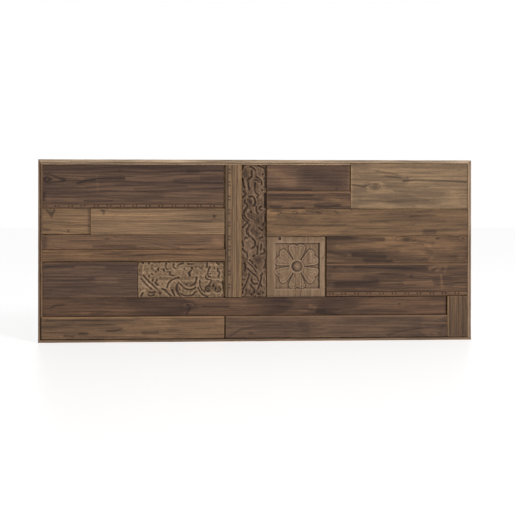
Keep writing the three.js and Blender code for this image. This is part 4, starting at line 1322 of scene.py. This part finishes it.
CARVINGS = {
    "carved_scroll_panel_lying": scrollwork(LYING_GROOVES, LYING_RIDGES, LYING_DOTS, 5),
    "carved_scroll_panel_upright": scrollwork(UPRIGHT_GROOVES, UPRIGHT_RIDGES, UPRIGHT_DOTS, 21),
    "carved_rosette_tile": rosette_shape,
}
for name, shape in CARVINGS.items():
    board(name, LOOKS[name], shape=shape, step=(0.9, 0.9), wear=1.2, side_shade=JOINT_SHADE)


# ---------------------------------------------------------------- build the back
STIFFENERS = ["stiffener_left", "stiffener_centre", "stiffener_right"]
SCREWS = {
    "hanging_cleat": [f"cleat_screw_{i}" for i in range(1, 7)],
    "lower_spacer": [f"spacer_screw_{i}" for i in range(1, 7)],
    **{name: [f"{name}_screw_1", f"{name}_screw_2"] for name in STIFFENERS},
}
FRAME_CORNERS = ["left_bottom", "left_top", "right_bottom", "right_top"]
NAILS = [f"{corner}_nail_{i}" for corner in FRAME_CORNERS for i in (1, 2)]
CLEAT_RISE = 16  # how far the cleat's bevelled lower edge climbs from the wall to the board
DIMPLE_LINES = np.arange(-6.5, 6.6, 0.65)


def middle_of(node):
    """Middle of a CAD node's box."""
    low, high = box_mm(node)
    return (low + high) / 2


def turn_of(name):
    """An angle of its own for each screw head."""
    return number_of(name) * 0.7 % math.pi


def dimpled(screws):
    """Shape with a countersink, torn up a little, round each screw."""
    places = [middle_of(screw) for screw in screws]

    def shape(a, b, x, z):
        depth = np.zeros(x.shape)
        for place in places:
            away = np.hypot(x - place[0], z - place[2])
            depth += 0.95 * (1 - smoothstep(4.3, 5.3, away)) - 0.2 * bell(away - 6, 0.7)
        # The countersinks are painted darker: painted shade.
        return np.maximum(depth + 0.2, 0), np.clip(depth, 0, 1) * 0.6, np.zeros(x.shape)

    return shape


def batten_on_the_back(node, look, step, back_corners=None):
    """A board that faces the wall, with a dimple round each of its screws."""
    low, _ = box_mm(node)
    places = np.array([middle_of(screw) for screw in SCREWS[node]]) - low
    lines = [(places[:, [axis]] + DIMPLE_LINES).ravel() for axis in (0, 2)]
    board(node, look, facing=BACK, shape=dimpled(SCREWS[node]), extra=lines, step=step,
          back_corners=back_corners)


board("backing_board", PLYWOOD, facing=BACK, step=(12, 12), wear=0.5, sway=0, side_shade=0.3)
batten_on_the_back("lower_spacer", PINE, (8, 4))
low, high = box_mm("hanging_cleat")
foot = low[2] + CLEAT_RISE
bevelled = [(low[0], foot), (high[0], foot), (high[0], high[2]), (low[0], high[2])]
batten_on_the_back("hanging_cleat", PINE, (8, 4), bevelled)
for name in STIFFENERS:
    batten_on_the_back(name, PINE_UPRIGHT, (4, 8))

screw_mesh = turned_mesh("screw", SCREW_PROFILE, 48, cross_dent, screw_thread)
screw_steel = steel_material("screw_steel", (176, 172, 160), (92, 74, 58), 0.0)
for name in [screw for screws in SCREWS.values() for screw in screws]:
    x, _, z = middle_of(name)
    piece = add_piece(name + "_turned", screw_mesh, screw_steel, "screw_steel", name)
    piece.location = Vector((x, box_mm(name)[1][1], z)) * MM
    piece.rotation_euler.y = turn_of(name)

nail_mesh = turned_mesh("nail", NAIL_PROFILE, 32, nail_dent)
nail_steel = steel_material("nail_steel", (120, 112, 104), (84, 58, 42), 0.12)
NAIL_PROUD = 0.42  # brings the heads, sunk in the CAD, flush with the sides of the frame
for name in NAILS:
    side = -1 if name.startswith("left") else 1
    _, y, z = middle_of(name)
    x = box_mm(name)[0 if side < 0 else 1][0] + side * NAIL_PROUD
    piece = add_piece(name + "_turned", nail_mesh, nail_steel, "nail_steel", name)
    piece.location = Vector((x, y, z)) * MM
    piece.rotation_euler.z = -side * math.pi / 2


# ---------------------------------------------------------------- camera, lights, floor
def set_camera():
    """A level camera left of the middle, its picture shifted so that upright lines stay upright."""
    lens = bpy.data.cameras.new("camera")
    lens.lens = 70
    lens.sensor_width = 36
    lens.shift_y = -0.1253
    camera = add_object("camera", lens)
    yaw = math.radians(3.27)
    roll = 0.0009
    ahead = Vector((math.sin(yaw), math.cos(yaw), 0))
    right = Vector((math.cos(yaw), -math.sin(yaw), 0)) * math.cos(roll) + Vector((0, 0, 1)) * math.sin(roll)
    up = right.cross(ahead)
    turned = Matrix((right, up, -ahead)).transposed().to_4x4()
    camera.matrix_world = Matrix.Translation((-0.2101, -3.7144, 0.5476)) @ turned
    bpy.context.scene.camera = camera


def add_lamp(name, place, target, size, power):
    """A round soft light, in metres and watts, that faces its target."""
    lamp = bpy.data.lights.new(name, "AREA")
    lamp.shape = "DISK"
    lamp.size = size
    lamp.energy = power
    holder = add_object(name, lamp)
    holder.location = place
    holder.rotation_euler = (Vector(target) - Vector(place)).to_track_quat("-Z", "Y").to_euler()


def set_world():
    """White to the camera, and dimmer as a light."""
    world = bpy.data.worlds.new("studio")
    world.use_nodes = True
    tree = world.node_tree
    background = tree.nodes["Background"]
    background.inputs["Color"].default_value = (1, 1, 1, 1)
    ambient = 0.45
    seen = Field(tree, tree.nodes.new("ShaderNodeLightPath").outputs["Is Camera Ray"])
    connect(tree, background.inputs["Strength"], seen * (1 - ambient) + ambient)
    bpy.context.scene.world = world


def add_floor():
    """A pale floor that glows a little and mirrors softly."""
    mesh = bpy.data.meshes.new("floor")
    reach = 12
    corners = [(-reach, -reach, 0), (reach, -reach, 0), (reach, reach, 0), (-reach, reach, 0)]
    mesh.from_pydata(corners, [], [(0, 1, 2, 3)])
    material, _, shader = new_material("pale_floor")
    shader.inputs["Base Color"].default_value = (0.5, 0.5, 0.5, 1)
    shader.inputs["Roughness"].default_value = 0.36
    shader.inputs["Specular IOR Level"].default_value = 1.0
    shader.inputs["Emission Color"].default_value = (1, 1, 1, 1)
    shader.inputs["Emission Strength"].default_value = 0.66
    mesh.materials.append(material)
    add_object("floor", mesh)


set_camera()
set_world()
add_lamp("key", place=(3.3, -4.6, 3.8), target=(0, 0, 0.35), size=2.2, power=225)
add_floor()
bpy.context.scene.view_settings.view_transform = "Standard"
